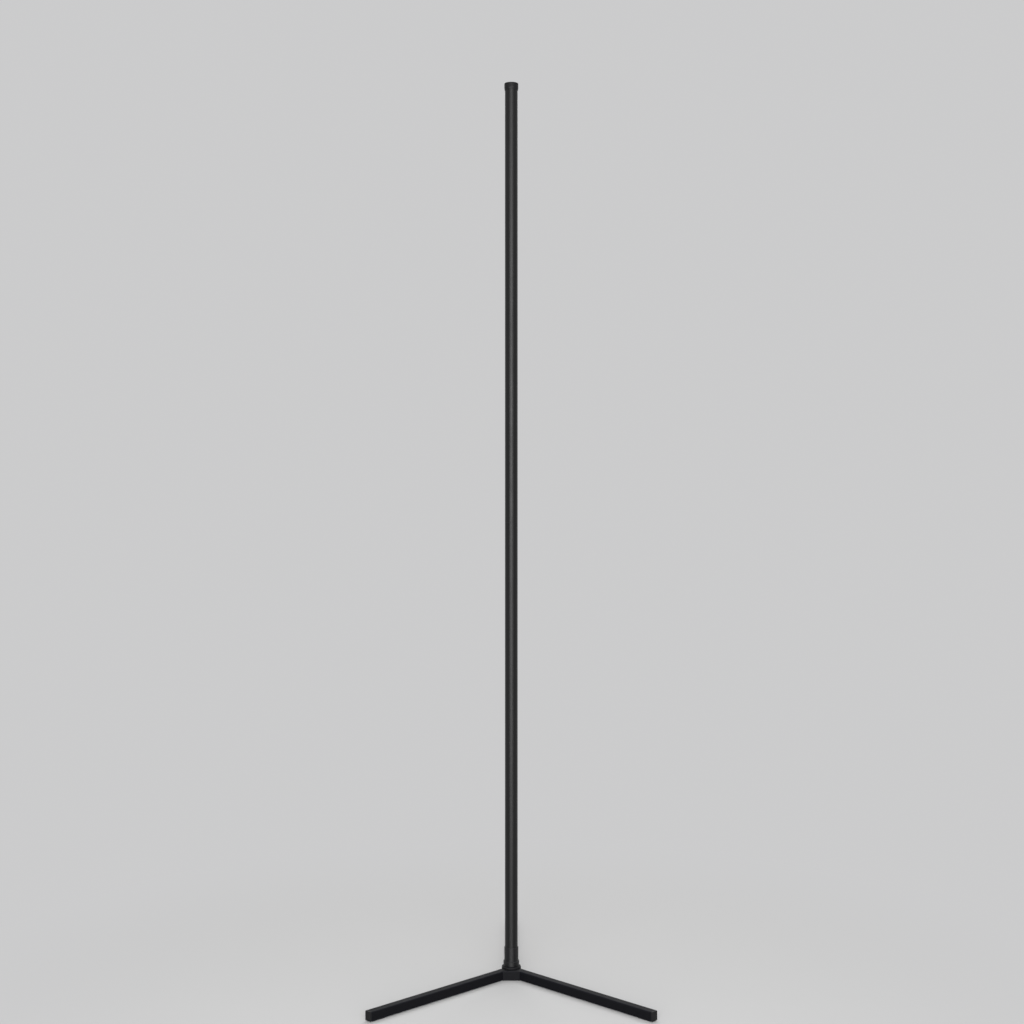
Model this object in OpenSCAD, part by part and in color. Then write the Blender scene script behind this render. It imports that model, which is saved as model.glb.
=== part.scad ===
// Corner floor lamp: a slender round pole that stands on a hub with three floor legs.
// The light shines backwards (+Y) out of a slot along the pole; the front (-Y) is plain.
// Origin: on the pole's axis at floor level, +Z up.

/* [Pole] */
// Outside diameter of the pole
pole_d = 20; // [19:0.5:21]
// Wall of the pole
pole_wall = 1.4; // [1.2:0.1:1.6]
// Length of one pole section
section_l = 343; // [250:1:420]
// Width of the light slot along the back
slot_w = 11; // [10:0.5:12]
// Thickness of the web that carries the light strip
web_t = 1.2; // [1:0.1:1.4]
// Distance from the pole's axis to the web's rear face
web_y = 2.6; // [2.4:0.1:3]

/* [Joiners] */
// Length of the bar that joins two pole sections
joiner_l = 70; // [50:1:100]
// Distance from a seam to each joiner screw
joiner_screw_inset = 18; // [10:1:20]
// Diameter of a joiner screw
joiner_screw_d = 3; // [2.5:0.5:3.5]
// Length of a joiner screw
joiner_screw_l = 4; // [3:0.5:4]
// Hexagon socket of a joiner screw, across corners
joiner_socket_d = 1.7; // [1.5:0.1:1.8]

/* [Top cap] */
// Outside diameter of the cap
cap_d = 22; // [21.6:0.1:24]
// Thickness of the cap above the pole
cap_roof = 2; // [1.5:0.1:4]
// Height of the cap's straight band beside the pole
cap_band = 5; // [4:0.5:12]
// Height of the cap's tapered lower edge
cap_taper = 4; // [2:0.5:6]
// Wall left at the bottom of the taper
cap_lip = 0.25; // [0.2:0.05:0.4]
// Length of the cap's plug inside the pole
cap_plug_l = 12; // [6:1:20]
// Rounding of the cap's top edge
cap_edge_r = 0.6; // [0.3:0.1:1.2]

/* [Pole foot] */
// Outside diameter of the sleeve round the pole's lower end
sleeve_d = 22; // [21.6:0.1:23]
// Rounding of the sleeve's top edge
sleeve_edge_r = 0.3; // [0.1:0.1:0.5]
// Height of the sleeve
sleeve_h = 21.5; // [16:0.5:30]
// Outside diameter of the turning collar below the sleeve
collar_d = 24.8; // [22.4:0.1:28]
// Rounding of the turning collar's top edge
collar_edge_r = 0.5; // [0.2:0.1:1]
// Height of the turning collar
collar_h = 7.7; // [6:0.1:14]
// Length of the foot's plug inside the pole
plug_l = 20; // [18:1:22]
// Height of the foot screws above the pole's lower end
foot_screw_z = 11; // [8:0.5:14]
// Diameter of a foot screw
foot_screw_d = 4; // [3:0.5:5]
// Length of a foot screw
foot_screw_l = 5; // [4:0.1:5.4]
// Hexagon socket of a foot screw, across corners
foot_socket_d = 2.3; // [1.8:0.1:2.4]
// Angle from straight back to each foot screw
foot_screw_angle = 60; // [50:1:80]

/* [Swivel] */
// Gap between the turning collar and the flange below it
swivel_gap = 0.3; // [0.2:0.05:0.5]
// Outside diameter of the flange on the hub
flange_d = 30; // [29.5:0.5:33]
// Height of the flange
flange_h = 6; // [5:0.5:10]
// Depth of the seat in the hub that the flange stands in
flange_seat = 3; // [1:0.5:3]
// Rounding of the flange's top edge
flange_edge_r = 1.5; // [0.5:0.1:2]
// Diameter of the low-friction disc that the pole turns on
thrust_d = 19; // [16:0.5:19]
// Thickness of the low-friction disc
thrust_t = 0.8; // [0.6:0.1:1.2]
// Diameter of the pivot bolt
bolt_d = 8; // [6:0.5:8]
// Length of the pivot bolt below its head
bolt_l = 32; // [28:1:34]
// Diameter of the pivot bolt's head
bolt_head_d = 13; // [11:0.5:14]
// Height of the pivot bolt's head
bolt_head_h = 5; // [4:0.1:5.5]
// Hexagon socket of the pivot bolt, across corners
bolt_socket_d = 5.8; // [4:0.1:6]
// Depth of that socket
bolt_socket_depth = 3; // [2:0.1:3.6]
// Diameter of the washer and the disc spring on the bolt
washer_d = 16; // [14:0.5:16.5]
// Thickness of the washer
washer_t = 1.6; // [1:0.1:1.8]
// Thickness of the disc spring's sheet
spring_t = 0.9; // [0.6:0.1:1.1]
// Height of the disc spring when it is tightened
spring_h = 1.6; // [1.3:0.1:1.8]
// Height of solid hub between the bolt's pocket and the hub's top
hub_web = 5; // [4.5:0.1:6]

/* [Base] */
// Angle of each front leg from straight ahead
leg_spread = 45; // [35:1:55]
// Distance from the pole's axis to the end of a leg
leg_reach = 290; // [200:1:360]
// Width of a leg
leg_w = 12; // [11:0.5:16]
// Height of a leg
leg_h = 14; // [14:0.5:16]
// Wall of a leg
leg_wall = 1.5; // [1.5:0.1:2]
// Rounding of a leg's long edges
leg_edge_r = 1.2; // [0.6:0.1:1.4]
// Distance from the pole's axis to where the legs start
hub_reach = 24; // [23:0.5:30]
// Chamfer along the top of the hub's front
hub_chamfer = 1; // [0.5:0.1:1.5]
// Length of the hub's arm inside each leg
arm_l = 36; // [34:1:60]
// Distances from the hub to each leg's screws
leg_screw_near = 10; // [8:1:14]
leg_screw_far = 28; // [20:1:29]
// Diameter of the countersunk base screws
base_screw_d = 3; // [2.5:0.1:3]
// Head diameter of the countersunk base screws
base_screw_head_d = 6; // [5:0.1:6]
// Hexagon socket of a countersunk screw, across corners
base_socket_d = 2.2; // [1.6:0.1:2.4]
// Depth of that socket
base_socket_depth = 1.2; // [0.8:0.1:1.6]
// Length of a leg screw
leg_screw_l = 8; // [6:0.5:9]
// Length of a flange screw
flange_screw_l = 15; // [13:0.5:15.5]
// Distance from the pole's axis to a flange screw
flange_screw_r = 12.2; // [12:0.1:12.5]
// Thickness of a leg's end cap
end_cap_t = 2; // [1.5:0.5:4]
// Length of an end cap's plug
end_plug_l = 12; // [8:1:20]
// Wall of an end cap's plug
end_plug_wall = 1.5; // [1:0.1:2]
// Thickness of the rubber pads
pad_t = 1; // [0.6:0.1:3]
// Length of the pad under a leg's end
tip_pad_l = 24; // [12:1:40]
// Distance from a leg's end to its pad
tip_pad_inset = 4; // [2:0.5:12]
// Margin between a pad's edge and the metal's edge
pad_margin = 1.2; // [0.6:0.1:2]

/* [Power inlet] */
// Height of the inlet above the sleeve
inlet_rise = 20; // [18:0.5:24]
// Height of the insert that closes the slot round the inlet
insert_h = 46; // [44:1:54]
// Diameter of the inlet's nose
nose_d = 8; // [7.8:0.1:8.4]
// Depth of the nose's face behind the pole's surface
nose_recess = 1; // [0.9:0.1:1.4]
// Diameter of the inlet's mouth
mouth_d = 6.4; // [6.2:0.1:6.6]
// Depth of the inlet's mouth
mouth_depth = 10.4; // [9.5:0.1:10.6]
// Diameter of the inlet's centre contact
contact_d = 2.1; // [1.9:0.1:2.5]
// Depth of the centre contact behind the inlet's face
contact_recess = 1.5; // [1:0.1:2.5]
// Width of the inlet's body
jack_w = 9; // [8.4:0.1:9.2]
// Height of the inlet's body
jack_h = 10; // [9:0.5:12]
// Depth of the inlet's body
jack_depth = 7.8; // [7.5:0.1:7.8]
// Diameter of a solder pin
solder_pin_d = 1; // [0.8:0.1:1.2]
// Distance that a solder pin stands out past the board
solder_pin_out = 1; // [0.5:0.1:1.5]
// Width of the control board
board_w = 12; // [11.8:0.1:13]
// Length of the control board
board_l = 44; // [42:0.5:46]
// Thickness of the control board
board_t = 1.2; // [1:0.1:1.6]
// Distance that the control board's upper end stands above the insert
board_rise = 1.5; // [0.5:0.1:3]
// Thickness of the rails that hold the control board
rail_t = 1.1; // [1:0.1:1.2]
// Distance from the inlet's body to the parts above it on the board
part_gap = 1; // [0.6:0.1:2]
// Side of the controller chip
chip_w = 5; // [4:0.5:8]
// Thickness of the controller chip
chip_t = 1; // [0.8:0.1:1.6]
// Diameter of the smoothing capacitor
capacitor_d = 6.3; // [5:0.1:7]
// Height of the smoothing capacitor
capacitor_h = 5.4; // [4:0.1:5.8]
// Width of the signal receiver
receiver_w = 5; // [4:0.5:7]
// Height of the signal receiver
receiver_h = 4; // [3:0.5:5]
// Thickness of the signal receiver
receiver_t = 3; // [2:0.5:4]

/* [Light] */
// Wall of the slot's fillers, measured from the pole's bore
filler_wall = 1.5; // [1.2:0.1:1.8]
// Width of the fillers behind the slot
filler_w = 14; // [13.5:0.5:14.5]
// Depth of the diffuser's face behind the pole's surface
diffuser_recess = 0.15; // [0.1:0.05:0.6]
// Width of the light strip
strip_w = 10; // [8:0.5:10]
// Thickness of the light strip
strip_t = 0.3; // [0.2:0.05:0.5]
// Length of the strip that laps over the control board
strip_lap = 5; // [3:0.5:6]
// Side of a light chip
led_w = 5; // [3.5:0.1:5]
// Height of a light chip
led_h = 1.6; // [1:0.1:2]
// Distance from one light chip to the next
led_pitch = 16.7; // [10:0.1:34]

/* [Hidden] */
$fn = 64;

slip = 0.1;        // gap all round a piece that slides into another
screw_gap = 0.05;  // gap between a screw and its hole
run_gap = 0.05;    // gap between the pivot bolt and the bores that it turns in
over = 1;          // how far a cutting shape stands out past what it cuts
tap_spare = 2;     // depth of the tapped hole past the bolt's end
end_gap = 1;       // gap between the light strip's upper end and the cap's plug
board_gap = 0.5;   // gap between the control board's upper end and the web
pin_seat = 0.6;    // depth that a solder pin reaches into the inlet's body
section_count = 4;

// angles of the legs, anticlockwise seen from above
left_angle = -90 - leg_spread;
right_angle = -90 + leg_spread;
rear_angle = 90;
leg_angles = [left_angle, right_angle, rear_angle];

// heights, from the floor up
hub_top = pad_t + leg_h;
seat_z = hub_top - flange_seat;
flange_top = seat_z + flange_h;
foot_z = flange_top + swivel_gap;
pole_z = foot_z + collar_h;
sleeve_top = pole_z + sleeve_h;
pole_top = pole_z + section_count * section_l;
pocket_top = hub_top - hub_web;
washer_top = pocket_top - spring_h;
head_top = washer_top - washer_t;
insert_top = sleeve_top + insert_h;
inlet_z = sleeve_top + inlet_rise;
board_top = insert_top + board_rise;
web_start = board_top + board_gap;
strip_low = board_top - strip_lap;
plug_bottom = pole_top - cap_plug_l;
rail_h = strip_low - slip - sleeve_top;

pole_r = pole_d / 2;
bore_r = pole_r - pole_wall;
inner_w = leg_w - 2 * leg_wall;
inner_h = leg_h - 2 * leg_wall;
leg_l = leg_reach - hub_reach - end_cap_t;
tap_depth = head_top + bolt_l + tap_spare - foot_z;
bolt_pocket_d = max(washer_d, bolt_head_d) + 1;
front_chamber_y = -web_y - web_t;
nose_y = pole_r - nose_recess;
parts_z = inlet_z + jack_h / 2 + part_gap;
jack_front_y = -web_y + jack_depth;
strip_face_y = -web_y + strip_t;
rail_root_y = sqrt(pow(bore_r - slip, 2) - pow(board_w / 2, 2)) - slip;
screw_tip_r = sqrt(pow(bore_r, 2) - pow(joiner_screw_d / 2, 2)) - screw_gap;
solder_pins = [[0, 0], [-jack_w / 4, -jack_h / 4], [jack_w / 4, -jack_h / 4]];

function corner(angle, side, reach, w) =
    [reach * cos(angle) - side * w / 2 * sin(angle), reach * sin(angle) + side * w / 2 * cos(angle)];

// ---- shapes that repeat ----

module rounded_rect(w, h, r) {
    translate([-w / 2 + r, 0]) square([w - 2 * r, h]);
    translate([-w / 2, r]) square([w, h - 2 * r]);
    for (x = [-w / 2 + r, w / 2 - r], y = [r, h - r]) translate([x, y]) circle(r = r);
}

// a ring whose top outer edge is rounded
module soft_ring(r, h, edge_r) {
    rotate_extrude() {
        square([r - edge_r, h]);
        square([r, h - edge_r]);
        translate([r - edge_r, h - edge_r]) circle(r = edge_r);
    }
}

// lays a flat outline across a leg and runs it outwards from the given distance
module along_leg(angle, start, length) {
    rotate([0, 0, angle]) translate([start, 0, pad_t]) rotate([90, 0, 90])
        linear_extrude(length) children();
}

// a round middle with an arm towards each leg and a flat front between the front legs
module hub_outline(reach, w, r) {
    circle(r = r);
    for (a = leg_angles)
        polygon([corner(a, -1, 0, w), corner(a, -1, reach, w), corner(a, 1, reach, w), corner(a, 1, 0, w)]);
    polygon([[0, 0], corner(left_angle, 1, reach, w), corner(right_angle, -1, reach, w)]);
}

// the outside of a countersunk screw whose flat end lies at the origin, or with a gap its hole
module countersunk(length, gap = 0) {
    d = base_screw_d + 2 * gap;
    head_d = base_screw_head_d + 2 * gap;
    cylinder(d1 = head_d, d2 = d, h = (head_d - d) / 2);
    cylinder(d = d, h = length + gap);
    if (gap > 0) translate([0, 0, -over]) cylinder(d = head_d, h = over);
}

module base_screw(length) {
    difference() {
        countersunk(length);
        translate([0, 0, -over]) cylinder(d = base_socket_d, h = base_socket_depth + over, $fn = 6);
    }
}

module leg_screw_places(angle) {
    for (s = [leg_screw_near, leg_screw_far])
        rotate([0, 0, angle]) translate([hub_reach + s, 0, pad_t]) children();
}

module flange_screw_places() {
    for (a = leg_angles) rotate([0, 0, a]) translate([flange_screw_r, 0, pad_t]) children();
}

module foot_screw_places() {
    for (side = [-1, 1])
        translate([0, 0, pole_z + foot_screw_z]) rotate([0, 0, 90 + side * foot_screw_angle])
            rotate([0, 90, 0]) children();
}

// the space behind the slot, where the light strip lies
module light_chamber(gap = 0) {
    intersection() {
        circle(r = bore_r - gap);
        translate([-pole_r, -web_y + gap]) square([pole_d, pole_d]);
    }
}

// the closed space in front of the web, where the joiners lie
module front_chamber(gap = 0) {
    intersection() {
        circle(r = bore_r - gap);
        translate([-pole_r, front_chamber_y - gap - pole_d]) square([pole_d, pole_d]);
    }
}

module slot() {
    translate([-slot_w / 2, 0]) square([slot_w, pole_r + over]);
}

// what closes the slot: a face between the slot's edges and wings behind them
module slot_filler(recess) {
    intersection() {
        difference() {
            circle(r = pole_r - recess);
            circle(r = bore_r - filler_wall);
        }
        translate([-slot_w / 2 + slip, 0]) square([slot_w - 2 * slip, pole_r]);
    }
    intersection() {
        difference() {
            circle(r = bore_r - slip);
            circle(r = bore_r - filler_wall);
        }
        translate([-filler_w / 2, 0]) square([filler_w, pole_r]);
    }
}

// ---- base ----

module hub() {
    color("#1b1b1e") difference() {
        union() {
            translate([0, 0, pad_t]) linear_extrude(leg_h) hub_outline(hub_reach, leg_w, flange_d / 2);
            for (a = leg_angles)
                along_leg(a, hub_reach - over, arm_l + over)
                    translate([-inner_w / 2 + slip, leg_wall + slip])
                        square([inner_w - 2 * slip, inner_h - 2 * slip]);
        }
        front = corner(left_angle, 1, hub_reach, leg_w);
        translate([front[0], front[1], hub_top]) rotate([45, 0, 0])
            translate([0, -hub_chamfer * sqrt(0.5), -hub_chamfer * sqrt(0.5)])
                cube([-2 * front[0], hub_chamfer * sqrt(2), hub_chamfer * sqrt(2)]);
        translate([0, 0, seat_z]) cylinder(d = flange_d + 2 * slip, h = flange_seat + over);
        cylinder(d = bolt_d + 2 * run_gap, h = hub_top + over);
        cylinder(d = bolt_pocket_d, h = pocket_top);
        for (a = leg_angles)
            leg_screw_places(a) cylinder(d = base_screw_d + 2 * screw_gap, h = leg_screw_l + screw_gap);
        flange_screw_places() countersunk(flange_screw_l, screw_gap);
    }
}

module leg(angle) {
    color("#1b1b1e") difference() {
        along_leg(angle, hub_reach, leg_l) difference() {
            rounded_rect(leg_w, leg_h, leg_edge_r);
            translate([-inner_w / 2, leg_wall]) square([inner_w, inner_h]);
        }
        leg_screw_places(angle) countersunk(leg_screw_l, screw_gap);
    }
}

module end_cap(angle) {
    color("#141416") difference() {
        union() {
            along_leg(angle, leg_reach - end_cap_t, end_cap_t) rounded_rect(leg_w, leg_h, leg_edge_r);
            along_leg(angle, leg_reach - end_cap_t - end_plug_l, end_plug_l)
                translate([-inner_w / 2 + slip, leg_wall + slip])
                    square([inner_w - 2 * slip, inner_h - 2 * slip]);
        }
        along_leg(angle, leg_reach - end_cap_t - end_plug_l - over, end_plug_l + over)
            translate([-inner_w / 2 + slip + end_plug_wall, leg_wall + slip + end_plug_wall])
                square([inner_w - 2 * slip - 2 * end_plug_wall, inner_h - 2 * slip - 2 * end_plug_wall]);
    }
}

module tip_pad(angle) {
    color("#0e0e0f") rotate([0, 0, angle])
        translate([leg_reach - tip_pad_inset - tip_pad_l, -leg_w / 2 + pad_margin, 0])
            cube([tip_pad_l, leg_w - 2 * pad_margin, pad_t]);
}

module hub_pad() {
    color("#0e0e0f") linear_extrude(pad_t)
        hub_outline(hub_reach - pad_margin, leg_w - pad_margin, flange_d / 2 - pad_margin);
}

module leg_screws() {
    color("#8a8c90") for (a = leg_angles) leg_screw_places(a) base_screw(leg_screw_l);
}

module base_flange() {
    color("#161618") difference() {
        translate([0, 0, seat_z]) soft_ring(flange_d / 2, flange_h, flange_edge_r);
        translate([0, 0, seat_z - over]) cylinder(d = bolt_d + 2 * run_gap, h = flange_h + 2 * over);
        translate([0, 0, foot_z - thrust_t]) cylinder(d = thrust_d + 2 * slip, h = thrust_t);
        flange_screw_places()
            cylinder(d = base_screw_d + 2 * screw_gap, h = flange_screw_l + screw_gap);
    }
}

module flange_screws() {
    color("#8a8c90") flange_screw_places() base_screw(flange_screw_l);
}

module thrust_disc() {
    color("#d8d6cf") translate([0, 0, foot_z - thrust_t]) difference() {
        cylinder(d = thrust_d, h = thrust_t);
        translate([0, 0, -over]) cylinder(d = bolt_d + 2 * slip, h = thrust_t + 2 * over);
    }
}

module disc_spring() {
    color("#777a80") rotate_extrude() polygon([
        [bolt_d / 2 + slip, pocket_top - spring_t], [washer_d / 2, washer_top],
        [washer_d / 2, washer_top + spring_t], [bolt_d / 2 + slip, pocket_top]]);
}

// ---- pole foot ----

module pivot_bolt() {
    color("#5c5e63") difference() {
        union() {
            translate([0, 0, head_top - bolt_head_h]) cylinder(d = bolt_head_d, h = bolt_head_h);
            translate([0, 0, head_top - over]) cylinder(d = bolt_d, h = bolt_l + over);
        }
        translate([0, 0, head_top - bolt_head_h - over])
            cylinder(d = bolt_socket_d, h = bolt_socket_depth + over, $fn = 6);
    }
}

module bolt_washer() {
    color("#9a9ca0") translate([0, 0, head_top]) difference() {
        cylinder(d = washer_d, h = washer_t);
        translate([0, 0, -over]) cylinder(d = bolt_d + 2 * slip, h = washer_t + 2 * over);
    }
}

module pole_foot() {
    color("#a6a8ac") difference() {
        union() {
            translate([0, 0, foot_z]) cylinder(d = pole_d, h = collar_h);
            translate([0, 0, pole_z - over]) cylinder(r = bore_r - slip, h = plug_l + over);
        }
        translate([0, 0, foot_z - over]) cylinder(d = bolt_d + 2 * screw_gap, h = tap_depth + over);
        foot_screw_places() translate([0, 0, sleeve_d / 2 - foot_screw_l - 2 * slip - screw_gap])
            cylinder(d = foot_screw_d + 2 * screw_gap, h = sleeve_d);
    }
}

module turning_collar() {
    color("#161618") translate([0, 0, foot_z]) difference() {
        soft_ring(collar_d / 2, collar_h, collar_edge_r);
        translate([0, 0, -over]) cylinder(d = pole_d + 2 * slip, h = collar_h + 2 * over);
    }
}

module pole_sleeve() {
    color("#18181a") difference() {
        translate([0, 0, pole_z]) soft_ring(sleeve_d / 2, sleeve_h, sleeve_edge_r);
        translate([0, 0, pole_z - over]) cylinder(d = pole_d + 2 * slip, h = sleeve_h + 2 * over);
        foot_screw_places() cylinder(d = foot_screw_d + 2 * screw_gap, h = sleeve_d);
    }
}

module foot_screws() {
    color("#5c5e63") foot_screw_places()
        translate([0, 0, sleeve_d / 2 - foot_screw_l - 2 * slip]) difference() {
            cylinder(d = foot_screw_d, h = foot_screw_l);
            translate([0, 0, foot_screw_l / 2]) cylinder(d = foot_socket_d, h = foot_screw_l, $fn = 6);
        }
}

// ---- pole ----

module pole_outline(with_web) {
    difference() {
        circle(r = pole_r);
        if (with_web) {
            light_chamber();
            front_chamber();
        } else {
            circle(r = bore_r);
        }
        slot();
    }
}

// the hole in the web through which a key reaches a joiner screw
module key_hole() {
    rotate([90, 0, 0]) translate([0, 0, web_y - over])
        cylinder(d = joiner_screw_d + 4 * slip, h = web_t + 2 * over);
}

// section 0 is the lowest; its lower end is bored out for the foot and the inlet
module pole_section(i) {
    low = pole_z + i * section_l;
    high = low + section_l;
    web_low = i == 0 ? web_start : low;
    color("#232326") difference() {
        union() {
            if (i == 0) translate([0, 0, low]) linear_extrude(web_low - low) pole_outline(false);
            translate([0, 0, web_low]) linear_extrude(high - web_low) pole_outline(true);
        }
        if (i == 0) foot_screw_places() cylinder(d = foot_screw_d + 2 * screw_gap, h = pole_d);
        if (i > 0) translate([0, 0, low + joiner_screw_inset]) key_hole();
        if (i < section_count - 1) translate([0, 0, high - joiner_screw_inset]) key_hole();
    }
}

module joiner_screw_places(i) {
    for (side = [-1, 1])
        translate([0, 0, pole_z + i * section_l + side * joiner_screw_inset]) rotate([90, 0, 0]) children();
}

module joiner(i) {
    color("#a6a8ac") difference() {
        translate([0, 0, pole_z + i * section_l - joiner_l / 2]) linear_extrude(joiner_l)
            front_chamber(slip);
        joiner_screw_places(i) cylinder(d = joiner_screw_d + 2 * screw_gap, h = pole_r);
    }
}

module joiner_screws() {
    color("#5c5e63") for (i = [1:section_count - 1])
        joiner_screw_places(i) translate([0, 0, screw_tip_r - joiner_screw_l]) difference() {
            cylinder(d = joiner_screw_d, h = joiner_screw_l);
            translate([0, 0, -over]) cylinder(d = joiner_socket_d, h = joiner_screw_l / 2 + over, $fn = 6);
        }
}

module top_cap() {
    skirt = cap_band + cap_taper;
    color("#19191b") {
        difference() {
            translate([0, 0, pole_top - cap_band])
                soft_ring(cap_d / 2, cap_band + cap_roof, cap_edge_r);
            translate([0, 0, pole_top - skirt - over]) cylinder(r = pole_r + slip, h = skirt + over);
        }
        rotate_extrude() polygon([
            [pole_r + slip, pole_top - skirt], [pole_r + slip + cap_lip, pole_top - skirt],
            [cap_d / 2, pole_top - cap_band], [pole_r + slip, pole_top - cap_band]]);
        translate([0, 0, plug_bottom]) linear_extrude(cap_plug_l) {
            light_chamber(slip);
            front_chamber(slip);
        }
    }
}

// ---- power inlet and light ----

module inlet_insert() {
    color("#111113") difference() {
        union() {
            translate([0, 0, sleeve_top]) linear_extrude(insert_h) slot_filler(0);
            for (side = [-1, 1])
                translate([side * (board_w - rail_t) / 2 - rail_t / 2, -web_y, sleeve_top])
                    cube([rail_t, web_y + rail_root_y, rail_h]);
        }
        translate([0, 0, inlet_z]) rotate([-90, 0, 0]) cylinder(d = nose_d + 2 * slip, h = pole_d);
    }
}

module solder_pin_places(y) {
    for (p = solder_pins) translate([p[0], y, inlet_z + p[1]]) rotate([-90, 0, 0]) children();
}

module power_jack() {
    color("#0c0c0d") difference() {
        union() {
            translate([-jack_w / 2, -web_y, inlet_z - jack_h / 2]) cube([jack_w, jack_depth, jack_h]);
            translate([0, jack_front_y - over, inlet_z]) rotate([-90, 0, 0])
                cylinder(d = nose_d, h = nose_y - jack_front_y + over);
        }
        translate([0, nose_y - mouth_depth, inlet_z]) rotate([-90, 0, 0])
            cylinder(d = mouth_d, h = mouth_depth + over);
        translate([0, -web_y - over, inlet_z]) rotate([-90, 0, 0])
            cylinder(d = contact_d, h = web_y + pole_r);
        solder_pin_places(-web_y - over) cylinder(d = solder_pin_d, h = over + pin_seat);
    }
}

module jack_contacts() {
    pin_l = solder_pin_out + board_t + pin_seat;
    color("#c9b37a") {
        solder_pin_places(-web_y - board_t - solder_pin_out) cylinder(d = solder_pin_d, h = pin_l);
        translate([0, -web_y, inlet_z]) rotate([-90, 0, 0])
            cylinder(d = contact_d, h = nose_y - contact_recess + web_y);
    }
}

module control_board() {
    color("#1d5a38") difference() {
        translate([-board_w / 2, -web_y - board_t, board_top - board_l]) cube([board_w, board_t, board_l]);
        solder_pin_places(-web_y - board_t - over)
            cylinder(d = solder_pin_d + 2 * screw_gap, h = board_t + 2 * over);
    }
}

module controller_chip() {
    color("#17181a") translate([-chip_w / 2, -web_y - board_t - chip_t, parts_z])
        cube([chip_w, chip_t, chip_w]);
}

module smoothing_capacitor() {
    color("#20242c") translate([0, -web_y, parts_z + capacitor_d / 2]) rotate([-90, 0, 0])
        cylinder(d = capacitor_d, h = capacitor_h);
}

module signal_receiver() {
    color("#17181a") translate([-receiver_w / 2, -web_y, parts_z + capacitor_d + part_gap])
        cube([receiver_w, receiver_t, receiver_h]);
}

module light_strip() {
    color("#e9e7df") translate([-strip_w / 2, -web_y, strip_low])
        cube([strip_w, strip_t, plug_bottom - end_gap - strip_low]);
}

module light_chips() {
    first = board_top + led_pitch / 2;
    color("#f3e7b0") for (z = [first:led_pitch:plug_bottom - led_pitch / 2])
        translate([-led_w / 2, strip_face_y, z - led_w / 2]) cube([led_w, led_h, led_w]);
}

module diffuser() {
    color("#f4f4f1") translate([0, 0, insert_top]) linear_extrude(plug_bottom - insert_top)
        slot_filler(diffuser_recess);
}

hub();
leg(left_angle);  // front_leg_left
leg(right_angle);  // front_leg_right
leg(rear_angle);  // rear_leg
end_cap(left_angle);  // left_end_cap
end_cap(right_angle);  // right_end_cap
end_cap(rear_angle);  // rear_end_cap
tip_pad(left_angle);  // left_tip_pad
tip_pad(right_angle);  // right_tip_pad
tip_pad(rear_angle);  // rear_tip_pad
hub_pad();
leg_screws();
base_flange();
flange_screws();
thrust_disc();
disc_spring();
pivot_bolt();
bolt_washer();
pole_foot();
turning_collar();
pole_sleeve();
foot_screws();
pole_section(0);  // pole_section_1
pole_section(1);  // pole_section_2
pole_section(2);  // pole_section_3
pole_section(3);  // pole_section_4
joiner(1);  // joiner_1
joiner(2);  // joiner_2
joiner(3);  // joiner_3
joiner_screws();
inlet_insert();
power_jack();
jack_contacts();
control_board();
controller_chip();
smoothing_capacitor();
signal_receiver();
light_strip();
light_chips();
diffuser();
top_cap();
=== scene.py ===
import math

import bmesh
import bpy
import numpy as np
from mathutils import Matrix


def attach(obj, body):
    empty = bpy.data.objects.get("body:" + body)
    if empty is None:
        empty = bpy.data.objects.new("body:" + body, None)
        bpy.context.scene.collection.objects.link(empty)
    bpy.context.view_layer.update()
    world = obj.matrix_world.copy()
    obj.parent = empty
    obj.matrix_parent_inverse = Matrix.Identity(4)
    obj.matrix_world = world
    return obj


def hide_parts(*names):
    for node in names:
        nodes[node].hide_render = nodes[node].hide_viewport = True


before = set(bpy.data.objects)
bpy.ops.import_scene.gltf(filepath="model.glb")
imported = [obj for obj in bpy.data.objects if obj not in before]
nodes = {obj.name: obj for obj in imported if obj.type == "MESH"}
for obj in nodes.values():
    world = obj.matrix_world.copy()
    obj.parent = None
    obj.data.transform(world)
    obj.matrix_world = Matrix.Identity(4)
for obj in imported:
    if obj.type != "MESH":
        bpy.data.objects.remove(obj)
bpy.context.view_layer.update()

mm = 0.001
print("frame loaded,", len(nodes), "CAD nodes")


def feed(tree, node, links):
    # links a socket to each input, or sets a plain value on it, by the input's name or number
    for key, value in links.items():
        if isinstance(value, bpy.types.NodeSocket):
            tree.links.new(value, node.inputs[key])
        else:
            node.inputs[key].default_value = value
    return node


def add(tree, kind, links=None, **settings):
    node = tree.nodes.new("ShaderNode" + kind)
    for key, value in settings.items():
        setattr(node, key, value)
    return feed(tree, node, links or {})


def sums(tree, operation, *terms):
    return add(tree, "Math", dict(enumerate(terms)), operation=operation).outputs[0]


def plus(tree, start, *parts):
    # start + mask * amount, for each (mask, amount) in turn
    for mask, amount in parts:
        start = sums(tree, "MULTIPLY_ADD", mask, amount, start)
    return start


def length(tree, vector):
    return add(tree, "VectorMath", {0: vector}, operation="LENGTH").outputs["Value"]


def spread(tree, value, fromLow, fromHigh, toLow=0.0, toHigh=1.0, curve="LINEAR"):
    return add(tree, "MapRange", {"Value": value, "From Min": fromLow, "From Max": fromHigh, "To Min": toLow,
                                  "To Max": toHigh}, interpolation_type=curve).outputs["Result"]


def noise(tree, place, scale, detail, roughness=0.5, distortion=0.0):
    return add(tree, "TexNoise", {"Vector": place, "Scale": scale, "Detail": detail,
                                  "Roughness": roughness, "Distortion": distortion}).outputs["Fac"]


view = {
    "eye": (0.00105, -2.317, 0.7285),  # level with the middle of the pole, straight in front
    "lens": 51.96,
    "sensor": 36.0,
}


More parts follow.
